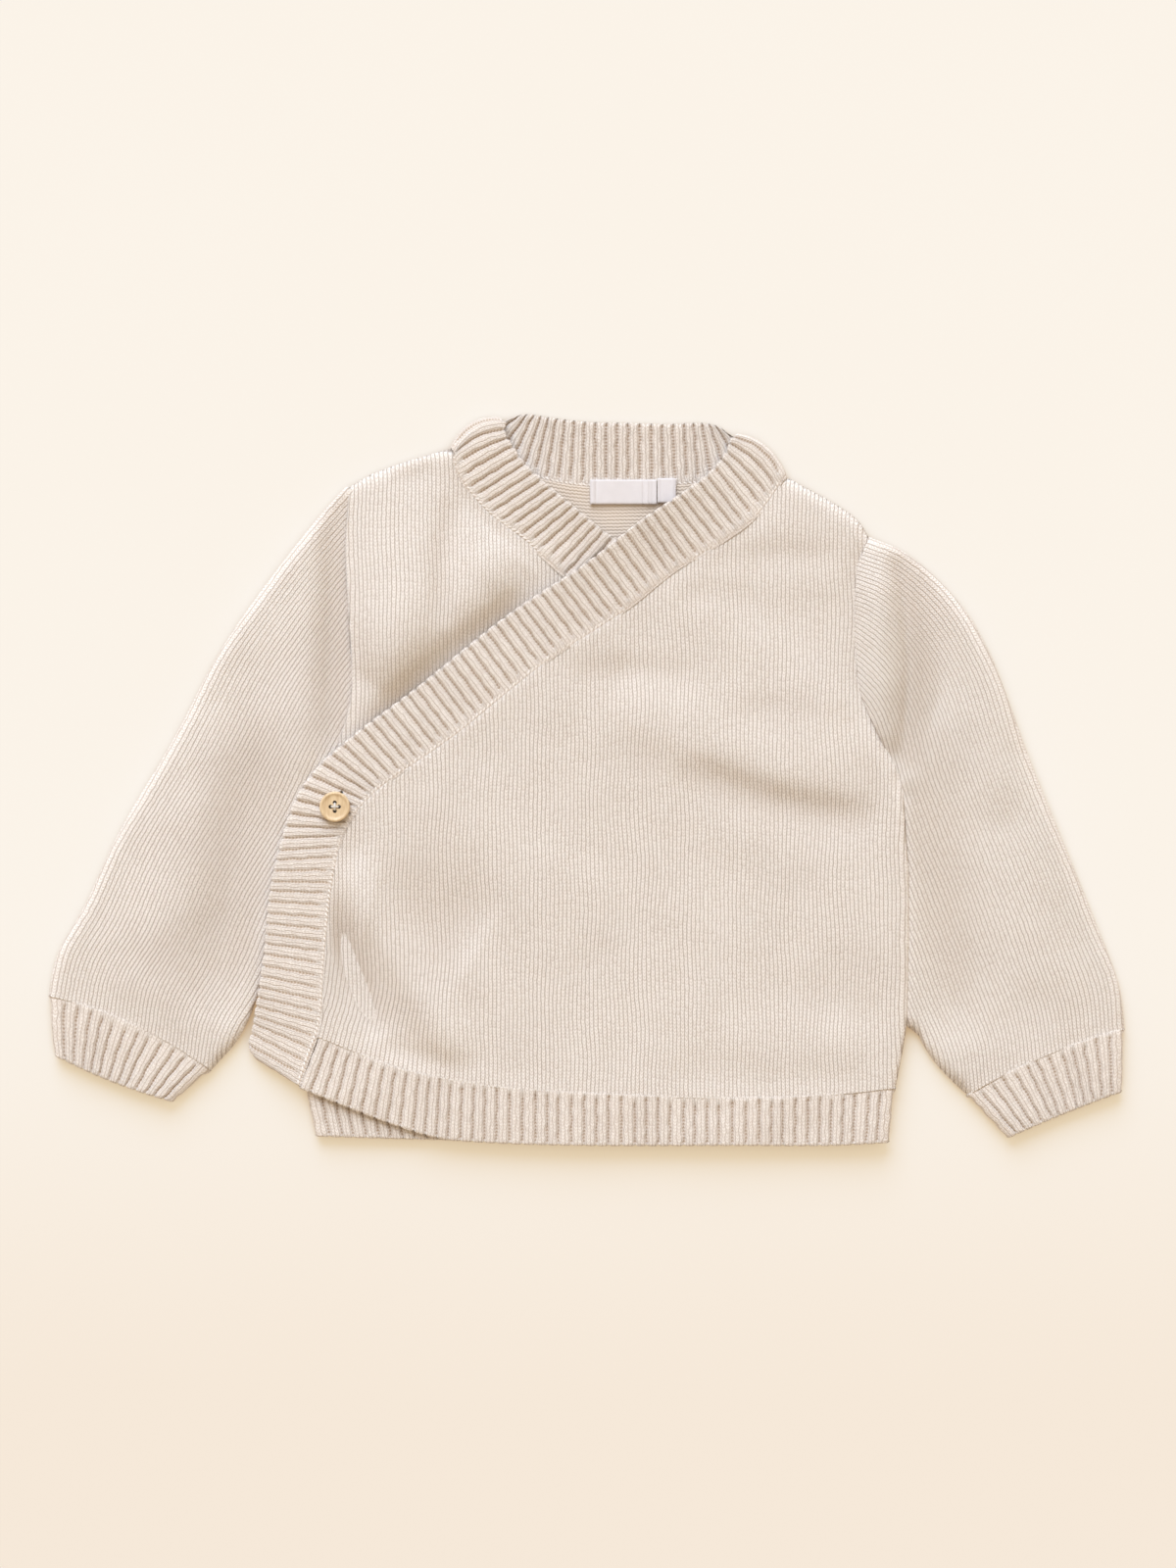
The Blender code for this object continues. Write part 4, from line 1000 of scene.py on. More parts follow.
def met(plan, height, edges, face=1):
    """Heights drawn to the linked edges, so that the skins of panel and strip run on."""
    step = face * ((cloth("rib_wall") - cloth("knit_wall")) / 2 - TUCK)
    height = np.broadcast_to(height, plan.shape[:1]).copy()
    for line, heights in edges:
        gap, at = nearest(plan, line)
        edge = step + np.interp(at, np.arange(len(line)), np.broadcast_to(heights, len(line)))
        height += (edge - height) * np.exp(-((gap / MEET_REACH) ** 2))
    return height


def lip(knitting, outline, linked):
    """How far both skins sink at the linked edges, where panel and strip meet in a valley."""
    from_edge, _ = nearest(knitting.plan, np.vstack([outline, outline[:1]]))
    sunk = np.zeros(len(knitting.plan))
    for line in linked:
        gap, _ = nearest(knitting.plan, line)
        near = np.exp(-((gap / LIP_NEAR) ** 4))
        sunk = np.maximum(sunk, LIP * near * (1 - eased(from_edge / LIP_REACH)))
    return sunk


def wales_and_dips(knitting, outline, linked):
    """How far the outer skin is sunk: between the wales, and along the armholes."""
    from_edge, _ = nearest(knitting.plan, np.vstack([outline, outline[:1]]))
    sunk = wale_relief(knitting.stitches[:, 0]) * eased(from_edge / RELIEF_ROOM)
    for line in linked:
        gap, _ = nearest(knitting.plan, line)
        sunk -= SEAM_DIP * np.exp(-((gap / DIP_WIDTH) ** 2))
    return sunk


# ---- the neck band's course


def fold_ways(fold):
    """A neck fold's ends, and its directions: towards the free edge, and outwards."""
    free, seam = np.array(fold[:2]), np.array(fold[2:])
    course = unit(free - seam)
    out = np.array([-course[1], course[0]])
    return free, seam, course, out if out[1] > 0 else -out


def fold_rings(fold):
    """Rings that turn the band over at a neck point, from its upper to its lower layer."""
    free, seam, _, out = fold_ways(fold)
    radius = (NECK_FRONT_LEVEL - NECK_BACK_LEVEL) / 2
    centre = NECK_BACK_LEVEL + radius
    rings = []
    for k in range(FOLD_TURNS + 1):
        angle = math.pi * k / FOLD_TURNS
        shift = out * (radius * math.sin(angle) - radius - cloth("rib_wall") / 2)
        height = centre + radius * math.cos(angle)
        normal = (*(out * math.sin(angle)), math.cos(angle))
        rings.append((*(free + shift), *(seam + shift), height, height, *normal))
    return np.array(rings)


def flat_rings(rows, face):
    line = curve(np.array(rows), steps=20)
    return np.column_stack([line, np.zeros((len(line), 2)), np.full(len(line), face)])


def band_rings():
    """The neck band's five stretches, from the over front's hem round to the hidden end.

    Columns: free_x, free_y, seam_x, seam_y, free_z, seam_z, and the outward direction.
    """
    right_fold, left_fold = fold_rings(RIGHT_FOLD), fold_rings(LEFT_FOLD)[::-1]
    return {
        "over": flat_rings([*OVER_BAND_ROWS, right_fold[0, :6]], 1)[:-1],
        "right_fold": right_fold,
        "back": flat_rings([right_fold[-1, :6], *BACK_BAND_ROWS, left_fold[0, :6]], -1)[1:-1],
        "left_fold": left_fold,
        "under": flat_rings([left_fold[-1, :6], *UNDER_BAND_ROWS], 1)[1:],
    }


def seam_of(rings):
    """The linked edge of some of the band's rings: its plan and its height."""
    return rings[:, 2:4], rings[:, 5]


# ---- outlines of the pieces


def rolled(rows, side, wall):
    """A smooth line out of a table, moved in where a panel's edge is rolled."""
    return inset(curve(column(rows, side)), wall / 2, OUT_SIDE[side])


def armhole(side, wall):
    """The armhole from armpit to shoulder tip, between the points where panels are rolled."""
    rows = column(ARMHOLE_ROWS, side)
    rows[0] = rolled(SIDE_ROWS, side, wall)[-1]
    rows[-1] = rolled(SHOULDER_ROWS, side, wall)[0]
    return curve(rows, steps=16)


def body_side(side, wall):
    """A panel's outline at one side, from below its hem to its neck point."""
    low, top = rolled(SIDE_ROWS, side, wall), rolled(SHOULDER_ROWS, side, wall)
    arm = inset(armhole(side, wall), SEAM_GAP, OUT_SIDE[side])
    below = low[:1] + (low[:1] - low[1:2]) * 4
    return np.vstack([below, low, arm[1:-1], top])


def make_panel(name, place, rows, outline, height, seams, edges, face, gap, seed, dips=(),
               sunk=None):
    """A plain knit panel: height gives its level at plan points, before seams and edges."""
    wall = cloth("knit_wall")
    reach = outline[:, 0].min() - DRIFT_ROOM, outline[:, 0].max() + DRIFT_ROOM
    knitting = knitted(place, wale_places(*reach), rows, outline, ["edge"] * len(outline))
    level = height(knitting.plan) + waves(knitting.plan, cloth("wave"), seed)
    level = met(knitting.plan, level, edges, face)
    middle, outward = settle(knitting.plan, level, seams, face)
    middle = lifted(middle, seams, gap)
    below = wall / 2 - lip(knitting, outline, [line for line, _ in edges])
    above = below + wales_and_dips(knitting, outline, dips)
    # painted shade: the share of hollow shade on the outer skin's yarn, none on the inner
    painted_hollows = None if sunk is None else [sunk(knitting.plan), np.zeros(len(middle))]
    return shell(name, knitting, middle, outward, above, below, (knit_finish(), purl_finish()),
                 grooves=painted_hollows)


def hem_bend(across, up, hem, fade):
    """How far the courses are bent to follow the hem, which fades out over this height."""
    low = np.interp(across, hem[:, 0], hem[:, 1]) - BASE_LINE + SEAM_GAP
    return low * (1 - eased(up / fade))


def make_back():
    wall = cloth("knit_wall")
    rings = band_rings()
    neck = np.vstack([rings["right_fold"][-1:], rings["back"], rings["left_fold"][:1]])[::-1]
    line, heights = seam_of(neck)
    line = line - (0, SEAM_GAP)
    # The neck line is carried on down both shoulders.
    top = np.vstack([line[:1] - (90, -22), line, line[-1:] + (90, 12)])
    hem = np.array([row[:2] for row in HIDDEN_HEM_ROWS])
    last = BACK_TOP - BASE_LINE

    def place(stitches):
        across, up = stitches.T
        points = np.column_stack([across, BASE_LINE + up])
        points = drifted(points, eased(up / DRIFT_FADE) * eased((last - up) / DRIFT_FADE), 3)
        high = np.interp(across, top[:, 0], top[:, 1]) - BACK_TOP
        points[:, 1] += hem_bend(across, up, hem, HIDDEN_FADE)
        points[:, 1] += high * eased((up - last + NECK_FADE) / NECK_FADE)
        return points

    outline = np.vstack([body_side("right", wall), line[::-1] + (0, 2),
                         body_side("left", wall)[::-1]])
    seams = [*body_edge("left", BACK_LEVEL, wall), *body_edge("right", BACK_LEVEL, wall)]
    rows = fine_rows(0, last, BACK_ROW, True, SHOULDER_LOW["right"] - BASE_LINE)
    hem_line = curve(hem)
    # At the neck the inner sides run on, because they are the ones that show.
    inner_step = cloth("rib_wall") - wall - 2 * TUCK
    return make_panel(
        "back_panel", place, rows, outline,
        lambda plan: BACK_LEVEL + np.abs(fold_relief(plan, BACK_FOLDS)),
        seams, [(line, heights + inner_step), (hem_line, HEM_LEVELS["back"])], -1,
        -SHOULDER_GAP / 2, 4,
    )


def above_over_band(points):
    """How far each point lies up and left of the over band's free edge."""
    free = curve(np.array(OVER_BAND_ROWS))
    gap, at = nearest(points, free)
    return gap * np.sign(side_of(points, free, at))


def before_over_band(points):
    """1 on the open under front, falling to 0 a little way under the over band."""
    return eased((above_over_band(points) + FOLD_UNDER) / FOLD_END)


def make_under_front():
    wall = cloth("knit_wall")
    rings = band_rings()
    neck = np.vstack([rings["left_fold"][-1:], rings["under"]])
    line, heights = seam_of(neck)
    seam = inset(line, SEAM_GAP, -1)
    hem = np.array([*(row[:2] for row in HIDDEN_HEM_ROWS[:3]), UNDER_HEM_END[:2]])

    def place(stitches):
        across, up = stitches.T
        points = np.column_stack([across, BASE_LINE + up])
        points = drifted(points, eased(up / DRIFT_FADE), 5)
        points[:, 1] += hem_bend(across, up, hem, HIDDEN_FADE)
        return points

    def height(plan):
        gap, _ = nearest(plan, line)
        folds = fold_relief(plan, UNDER_FOLDS)
        room = eased(gap / BAND_ROOM) * before_over_band(plan)
        return UNDER_LEVEL + np.where(folds > 0, folds * room, folds)

    # painted shade: deepest where the folds fall under the over band, and in the troughs
    def sunk(plan):
        fallen = fold_relief(plan, UNDER_FOLDS) * (1 - before_over_band(plan))
        fallen = np.clip(FALLEN_PAINTED_SHADE * fallen / HOLLOW_FULL, 0, 1)
        return np.maximum(fallen, painted_hollow_shade(plan, UNDER_FOLDS))

    outline = np.vstack([seam[::-1], body_side("left", wall)[::-1]])
    rows = fine_rows(0, UNDER_TOP - BASE_LINE, FRONT_ROW, False, SHOULDER_LOW["left"] - BASE_LINE)
    return make_panel(
        "under_front_panel", place, rows, outline, height, body_edge("left", ARMHOLE_SEAM, wall),
        [(line, heights), (curve(hem), HEM_LEVELS["under"])], 1, SHOULDER_GAP / 2, 6, sunk=sunk,
    )


def beyond_under_band(points):
    """How far each point lies up and right of the under band's free edge."""
    start, end = np.array(UNDER_BAND_ROWS[5][:2]), np.array(UNDER_BAND_ROWS[9][:2])
    course = unit(end - start)
    to = points[..., :2] - start
    return to[..., 1] * course[0] - to[..., 0] * course[1]


def over_level(points):
    """Middle height of the over front: lower where only the back is below it."""
    drop = eased(beyond_under_band(points) / DROP_WIDTH)
    return OVER_LEVEL - OVER_DROP * drop + fold_relief(points, OVER_FOLDS)


def make_over_front():
    wall = cloth("knit_wall")
    rings = band_rings()
    line, heights = seam_of(np.vstack([rings["over"], rings["right_fold"][:1]]))
    seam = inset(line, SEAM_GAP, -1)
    hem = curve(np.array([row[:2] for row in HEM_ROWS]))

    def place(stitches):
        across, up = stitches.T
        lean = CORNER_LEAN * (1 - np.clip(up / CORNER_HEIGHT, 0, 1)) ** 2
        lean = lean * eased((CORNER_START - across) / CORNER_WIDTH)
        points = np.column_stack([across - lean, BASE_LINE + up])
        points = drifted(points, eased(up / DRIFT_FADE), 7)
        points[:, 1] += hem_bend(points[:, 0], up, hem, HEM_FADE)
        return points

    low_left = seam[seam[:, 1] > hem[0, 1] - 5]
    outline = np.vstack([hem[3:] - (0, 2), body_side("right", wall)[1:], low_left[::-1]])
    rows = fine_rows(0, OVER_TOP - BASE_LINE, FRONT_ROW, False, SHOULDER_LOW["right"] - BASE_LINE)
    return make_panel(
        "over_front_panel", place, rows, outline, over_level,
        body_edge("right", ARMHOLE_SEAM, wall),
        [(line, heights), (hem, HEM_LEVELS["over"])], 1, SHOULDER_GAP / 2, 8,
        [armhole("right", wall)],
        # painted shade in the over front's fold hollows
        lambda plan: painted_hollow_shade(plan, OVER_FOLDS),
    )


# ---- ribs


def rib_places(length, pitch):
    """Places along a ribbed strip as shares of it, and each one's place in its rib.

    A place in a rib is 0 on its ridge and 1 or -1 in the grooves beside it. No two ribs are
    quite as wide.
    """
    count = round(length / pitch)
    widths = 1 + RIB_CHANCE * np.random.default_rng(count).uniform(-1, 1, count)
    grooves = np.hstack([[0], np.cumsum(widths)]) / widths.sum()
    within = np.append(np.tile(RIB_PLACES, count), -1)
    number = np.append(np.repeat(np.arange(count), len(RIB_PLACES)), count)
    return np.interp(number + (within + 1) / 2, np.arange(count + 1), grooves), within


def wandering(grid, from_free, seed):
    """The strip's points moved a little along it, so that its ribs wander."""
    chance = np.random.default_rng(seed)
    course = unit(np.gradient(grid, axis=1))
    place = lengths(grid[0], 3)
    shift = np.zeros(grid.shape[:2])
    for span, depth in ((13.0, 7.0), (6.1, 11.0), (3.7, 5.0)):
        first, second = chance.uniform(0, math.tau, 2)
        shift += (np.sin(place * math.tau / span + first)[None, :]
                  * np.sin(from_free * math.tau / depth + second))
    return grid + course * (RIB_WANDER * shift)[..., None]


def ridge(within, kind="band"):
    """Height of a rib between its grooves: flat and round, and steep beside the groove."""
    return 1 - np.abs(within) ** RIDGE_POWER[kind]


def turned(within):
    """Places in the ribs of the inner side, whose ridges lie behind the outer grooves."""
    return np.where(within < 0, within + 1, within - 1)


def rib_map(within, from_free):
    """A strip's stitch map: two plain wales to each ridge, and two to its grooves."""
    number = np.cumsum(np.hstack([[0], np.diff(within) < 0]))
    far = np.abs(within)
    local = np.where(far < RIDGE_SHARE, far / RIDGE_SHARE,
                     1 + (far - RIDGE_SHARE) / (1 - RIDGE_SHARE))
    across = (4 * number + np.sign(within) * local) * cloth("wale")
    return np.stack(np.broadcast_arrays(across, from_free), -1)


def uneven_starts(within, seed):
    """How far from the linked edge each groove starts, on a strip that is knitted on."""
    number = np.cumsum(np.hstack([[0], np.diff(within) < 0]))
    centre = number + (within >= 0)
    return np.random.default_rng(seed).uniform(0, GROOVE_START, centre.max() + 1)[centre]


def rib_skins(within, from_free, from_seam, start, kind, deep=1.0):
    """How far both skins of a ribbed strip stand off its middle, and their share of a groove,
    which the rib finish turns into painted shade.

    All are given over the strip's grid, at these distances from its edges. Start is how far
    from the linked edge the grooves start, and deep makes some of them deeper than others.
    """
    wall, relief = cloth("rib_wall"), cloth("rib_relief")
    shape = FREE_EDGE + (1 - FREE_EDGE) * rounded(from_free / EDGE_ROUND)
    fade = softened(from_free / GROOVE_RISE)
    fade = fade * eased((from_seam - start) / EDGE_ROUND)
    stand = wall / 2 * shape - LIP * (1 - eased(from_seam / LIP_REACH))
    grooves = [fade * (1 - ridge(side, kind)) for side in (within, turned(within))]
    above, below = ((stand - relief * deep * groove) for groove in grooves)
    if kind == "band":
        row = np.exp(-(((from_seam - LINK_INSET) / LINK_ROW) ** 2))
        above, below = above - LINK_SINK * row, below - LINK_SINK * row
        # painted shade: the row of linking stitches gets at least this share of the groove colour
        grooves = [np.maximum(groove, LINK_DARK * row) for groove in grooves]
    return above.ravel(), below.ravel(), [groove.ravel() for groove in grooves]


def strip_steps(length):
    """Distances across a ribbed strip from its free edge, closer together at both edges."""
    edge = np.array(EDGE_ROWS)
    between = np.arange(edge[-1] + RIB_ROW, length - edge[-1] - RIB_ROW / 2, RIB_ROW)
    return np.hstack([edge, between, length - edge[::-1]])


def strip_grid(free, seam):
    """A strip's points, their shares of its width, and their distances from both edges."""
    long = np.linalg.norm(seam - free, axis=1)
    steps = strip_steps(long.mean())
    shares = (steps / steps[-1])[:, None]
    grid = free + (seam - free) * (shares * (1 - SEAM_GAP / long))[..., None]
    return grid, shares, shares * long, long - shares * long


def scallop(free, seam, within, kind, amount=1.0):
    """The free edge, standing out a little at each ridge."""
    return free + unit(free - seam) * (amount * SCALLOP * ridge(within, kind))[..., None]


def make_hem(name, rows, level, ends):
    """A ribbed hem between its linked edge and its free edge.

    Ends gives the height of the side seam at the left and right, or None at the band.
    """
    wall = cloth("rib_wall")
    rows = np.array(rows)
    for end, row, hand in zip(ends, (0, -1), (1, -1)):
        rows[row, [0, 2]] += hand * (wall / 2 if end else SEAM_GAP)
    line = curve(rows, steps=20)
    centre = (line[:, :2] + line[:, 2:]) / 2
    places, within = rib_places(lengths(centre)[-1], cloth("hem_rib"))
    reach = lengths(centre)
    picked = read(line, places * reach[-1], reach)
    top, free = picked[:, :2], scallop(picked[:, 2:], picked[:, :2], within, "hem")
    grid, _, from_free, from_seam = strip_grid(free, top)
    grid[:, 1:-1] = wandering(grid, from_free, len(name))[:, 1:-1]
    knitting = gridded(grid, rib_map(within, from_free), ("free", "edge", "edge", "edge"))
    seams = [seam_line(grid[:, edge], hand, end, SIDE_REACH[side], 1)
             for end, (side, hand), edge in zip(ends, OUT_SIDE.items(), (0, -1)) if end]
    plan = knitting.plan
    height = level + waves(plan, cloth("wave"), len(name))
    middle, outward = settle(plan, height, seams, -1 if name == "back_hem" else 1)
    above, below, grooves = rib_skins(within, from_free, from_seam,
                                      uneven_starts(within, len(name)), "hem")
    for end, from_end in zip(ends, (places, 1 - places)):
        if end is None:
            sunk = LIP * (1 - eased(from_end * reach[-1] / LIP_REACH))
            sunk = np.broadcast_to(sunk, from_free.shape).ravel()
            above, below = above - sunk, below - sunk
    inner = rib_map(turned(within), from_free)
    return shell(name, knitting, middle, outward, above, below, (rib_finish(),) * 2,
                 inner.reshape(-1, 2), grooves)


def band_skeleton():
    """Dense rings of the whole neck band, with the length along it at each."""
    stretches = band_rings()
    rings = np.vstack(list(stretches.values()))
    centre = (rings[:, [0, 1, 4]] + rings[:, [2, 3, 5]]) / 2
    reach = lengths(centre, 3)
    ends = np.cumsum([len(stretch) for stretch in stretches.values()])
    folds = [(reach[(ends[k - 1] + ends[k]) // 2], place)
             for k, place in ((1, RIGHT_FOLD), (3, LEFT_FOLD))]
    return rings, reach, folds


def rolled_over(middle, along_band, shares, folds):
    """The band's middle surface with both folds made into round, loose rolls."""
    for centre, place in folds:
        _, _, course, out = fold_ways(place)
        away = (along_band - centre)[None, :, None]
        s = shares[..., None]
        bow = FOLD_BOW * 4 * s * (1 - s) * np.exp(-((away / FOLD_BOW_REACH) ** 2))
        drawn = FOLD_ROUND * (1 - s) ** 2 * np.exp(-((away / FOLD_ROUND_REACH) ** 2))
        middle[..., :2] += bow * out - drawn * (course + out * 0.5)
    return middle


def make_neck_band():
    """One ribbed strip, folded over at both neck points."""
    rings, reach, folds = band_skeleton()
    places, within = rib_places(reach[-1], cloth("rib"))
    picked = read(rings, places * reach[-1], reach)
    free, seam, normal = picked[:, [0, 1, 4]], picked[:, [2, 3, 5]], unit(picked[:, 6:])
    free = scallop(free, seam, within, "band")
    middle, shares, from_free, from_seam = strip_grid(free, seam)
    middle = wandering(middle, from_free, 9)
    middle[..., 2] += np.where(normal[:, 2] > 0.99, 1, 0) * waves(middle, cloth("wave"), 11)
    middle = rolled_over(middle, places * reach[-1], shares, folds)
    round_neck = np.exp(-(((middle[..., 0] - NECK_CENTRE[0]) ** 2
                           + (middle[..., 1] - NECK_CENTRE[1]) ** 2) / NECK_REACH**2))
    middle[..., 2] += NECK_LIFT * round_neck * (1 - shares) * (1 + normal[:, 2]) / 2
    knitting = gridded(middle[..., :2], rib_map(within, from_free),
                       ("free", "free", "edge", "free"))
    start = LINK_WIDTH - GROOVE_START / 2 + uneven_starts(within, 77)
    deep = 1 + BACK_DEEPER * (normal[:, 2] < -0.5) - LOW_SHALLOWER * eased(
        (LOW_FROM - free[:, 1]) / LOW_REACH)
    above, below, grooves = rib_skins(within, from_free, from_seam, start, "band", deep)
    outward = np.broadcast_to(normal, middle.shape).reshape(-1, 3)
    inner = rib_map(turned(within), from_free)
    band = shell("ribbed_neck_band", knitting, middle.reshape(-1, 3), outward, above, below,
                 (rib_finish(),) * 2, inner.reshape(-1, 2), grooves)
    cut_buttonhole(band)
    return band


def cut_buttonhole(band):
    """Cuts the slit that stands open round the button's shank."""
    cos, sin = math.cos(BUTTONHOLE_ANGLE), math.sin(BUTTONHOLE_ANGLE)
    outline = [*BUTTONHOLE, *((away, -half) for away, half in reversed(BUTTONHOLE) if half)]
    low, high = BUTTONHOLE_DEPTH
    count = len(outline)
    points = np.array([
        (BUTTON_AT[0] + away * cos - half * sin, BUTTON_AT[1] + away * sin + half * cos, z)
        for z in (low, high) for away, half in outline
    ])
    sides = [(k, (k + 1) % count, (k + 1) % count + count, k + count) for k in range(count)]
    faces = [tuple(range(count))[::-1], tuple(range(count, 2 * count)), *sides]
    carve(band, make_mesh("slit", points, faces, points[:, :2], [0] * len(faces), ()))


# ---- sleeves and cuffs


def patch(bottom, top, left, right):
    """A grid of plan points spanned between four rows of points (a Coons patch)."""
    across = (lengths(bottom) / lengths(bottom)[-1] + lengths(top) / lengths(top)[-1]) / 2
    up = (lengths(left) / lengths(left)[-1] + lengths(right) / lengths(right)[-1]) / 2
    u, v = across[None, :, None], up[:, None, None]
    corners = (
        (1 - u) * (1 - v) * bottom[0] + u * (1 - v) * bottom[-1]
        + (1 - u) * v * top[0] + u * v * top[-1]
    )
    sides = (1 - u) * left[:, None] + u * right[:, None]
    return (1 - v) * bottom[None] + v * top[None] + sides - corners


def tube_layers(plan, outer, inner, top, wall, hand, seed, arm=None, cuff=None, folds=None):
    """Middle and outward directions of the upper and the lower layer of a flattened tube."""
    gap_outer, at_outer = nearest(plan, outer)
    gap_inner, at_inner = nearest(plan, inner)
    edge_gap = np.minimum(gap_outer, gap_inner)
    full = rounded(np.minimum(gap_outer / TUBE_REACH, gap_inner / INNER_REACH))
    upper = TUBE_EDGE + (top - TUBE_EDGE) * full
    lower = TUBE_EDGE - (TUBE_EDGE - wall / 2) * rounded(edge_gap / FLOOR_REACH)
    if arm is not None:
        gap_arm, at_arm = nearest(plan, arm)
        arc = lengths(arm)
        here = np.interp(at_arm, np.arange(len(arm)), arc)
        rise = softened(gap_arm / ARM_RISE)
        for layer, level in ((upper, ARMHOLE_SEAM), (lower, wall / 2)):
            seam = armhole_height(here, arc[-1], level)
            layer[:] = seam + (layer - seam) * rise
    upper += waves(plan, cloth("wave"), seed) * full
    if folds:
        room = rounded(np.minimum(gap_outer / TUBE_REACH, gap_inner / FOLD_ROOM))
        upper += fold_relief(plan, folds) * room
        gap_cuff, _ = nearest(plan, cuff)
        meets = CUFF_TOP + (cloth("rib_wall") - wall) / 2 - TUCK
        meets = TUBE_EDGE + (meets - TUBE_EDGE) * full
        upper += (meets - upper) * np.exp(-((gap_cuff / MEET_REACH) ** 2))
        upper[:] = np.maximum(upper, lower + (wall + 0.2) * rounded(edge_gap / FLOOR_REACH))
    lean = np.zeros_like(plan)
    for gap, at, line, side in ((gap_outer, at_outer, outer, hand),
                                (gap_inner, at_inner, inner, -hand)):
        lean += np.clip(1 - gap / TURN, 0, 1)[:, None] * read(sideways(line, side), at)
    lean /= np.maximum(np.linalg.norm(lean, axis=1), 1)[:, None]
    upright = np.sqrt(np.maximum(1 - (lean**2).sum(-1), 0))
    return [
        (np.column_stack([plan, upper]), np.column_stack([lean, upright])),
        (np.column_stack([plan, lower]), np.column_stack([lean, -upright])),
    ]


def beside_body(line, side):
    """A sleeve's inner edge, laid against the body's side where the two are close."""
    hand = OUT_SIDE[side]
    body = curve(column(SIDE_ROWS, side))
    gap, at = nearest(line, body)
    close = 1 - eased((gap - NEAR_BODY) / NEAR_BODY)
    touching = read(body, at) + (hand * BODY_TOUCH, 0)
    return line + (touching - line) * close[:, None]


def make_sleeve(side):
    wall = cloth("sleeve_wall")
    hand = -OUT_SIDE[side]
    rows = np.array(SLEEVES[side])
    whole = curve(rows[:, :2], steps=16)
    outer = inset(whole, wall / 2, hand)
    inner = beside_body(curve(rows[:, 2:], steps=16), side)
    inner = inset(inner, wall / 2, -hand)
    arm = inset(armhole(side, cloth("knit_wall")), SEAM_GAP, hand)[::-1]
    cuff = chord(whole[-1], inner[-1], CUFF_SEAM_BOW[side] * hand, 60)
    inward = -sideways(whole, hand)
    reach = lengths(whole)
    long = reach[-1]
    ways = np.array([inward[0], inward[len(inward) // 2], inner[-1] - whole[-1]])
    wide = np.linalg.norm(ways[-1])
    turns = np.unwrap(np.arctan2(ways[:, 1], ways[:, 0]))

    def square(across, down):
        turn = np.interp(down, [0, reach[len(reach) // 2], long], turns)
        return at_lengths(whole, down) + across[:, None] * np.column_stack(
            [np.cos(turn), np.sin(turn)])

    def place(stitches):
        across, down = stitches[:, 0], stitches[:, 1]
        bend = eased((down - long + CUFF_BLEND) / CUFF_BLEND)
        at_cuff = at_lengths(cuff, across * lengths(cuff)[-1] / wide)
        off = at_cuff - square(across, np.full(len(across), long))
        points = square(across, down) + off * bend[:, None]
        return drifted(points, eased((long - down) / DRIFT_FADE), 13 + hand)

    beyond = 4 * unit(whole[-1] - whole[-2])
    lines = (("armhole", arm), ("fold", inner), ("cuff", np.array([inner[-1] + beyond,
             outer[-1] + beyond])), ("fold", outer[::-1]))
    outline = np.vstack([line for _, line in lines])
    kinds = [kind for kind, line in lines for _ in range(len(line))]
    across = wale_places(-2, wide + 40)
    down = long - fine_rows(SEAM_GAP, long, SLEEVE_ROW, also_last=True)[::-1]
    knitting = knitted(place, across, down, outline, kinds)
    folds = SLEEVE_FOLDS[side]
    layers = tube_layers(knitting.plan, outer, inner, SLEEVE_TOP, wall, hand, 17 + hand, arm,
                         cuff, folds)
    below = wall / 2 - lip(knitting, outline, [cuff])
    above = below + wales_and_dips(knitting, np.vstack([arm, cuff[::-1]]), [arm])
    knitting.stitches[:, 1] *= -1
    # painted shade in the sleeve's fold hollows, on the outer skins
    sunk = painted_hollow_shade(knitting.plan, folds)
    return tube(f"{side}_sleeve", knitting, layers, above, below,
                (knit_finish(), purl_finish()), [sunk, np.zeros(len(sunk))])


def make_cuff(side):
    wall = cloth("rib_wall")
    hand = -OUT_SIDE[side]
    rows = np.array(CUFFS[side])
    outer = inset(curve(rows[:, :2], steps=16), wall / 2, hand)
    inner = inset(curve(rows[:, 2:], steps=16), wall / 2, -hand)
    seam = chord(outer[0], inner[0], CUFF_SEAM_BOW[side] * hand, 60)
    end = chord(outer[-1], inner[-1], CUFF_END_BOW[side] * hand, 60)
    places, within = rib_places((lengths(seam)[-1] + lengths(end)[-1]) / 2, cloth("rib"))
    long = (lengths(outer)[-1] + lengths(inner)[-1]) / 2
    steps = strip_steps(long)[::-1]
    shares = 1 - steps / steps[0] * (1 - SEAM_GAP / long)
    grid = patch(along(seam, places), along(end, places), along(outer, shares),
                 along(inner, shares))
    grid = scallop(grid, grid[:1], within, "cuff", shares[:, None] ** 4)
    from_free = np.broadcast_to(steps[:, None], grid.shape[:2])
    grid[1:, 1:-1] = wandering(grid, from_free, 5 + hand)[1:, 1:-1]
    knitting = gridded(grid, rib_map(within, from_free), ("seam", "fold", "free", "fold"))
    layers = tube_layers(knitting.plan, outer, inner, CUFF_TOP, wall, hand, 21 + hand)
    above, below, grooves = rib_skins(within, from_free, steps[0] - from_free,
                                      uneven_starts(within, 31 + hand), "cuff")
    return tube(f"{side}_cuff", knitting, layers, above, below, (rib_finish(),) * 2, grooves)


# ---- finishes


def sum_node(operation):
    """A sum written between two values, which lays one node."""
    return lambda self, other: self.finish.math(operation, self, other)


class Value:
    """A number or colour that a finish's nodes work out. Plain sums can be written with it."""

    def __init__(self, finish, socket):
        self.finish, self.socket = finish, socket

    __add__, __sub__ = sum_node("ADD"), sum_node("SUBTRACT")
    __mul__, __truediv__ = sum_node("MULTIPLY"), sum_node("DIVIDE")

    def __rsub__(self, other):
        return self.finish.math("SUBTRACT", other, self)

    def __abs__(self):
        return self.finish.math("ABSOLUTE", self)


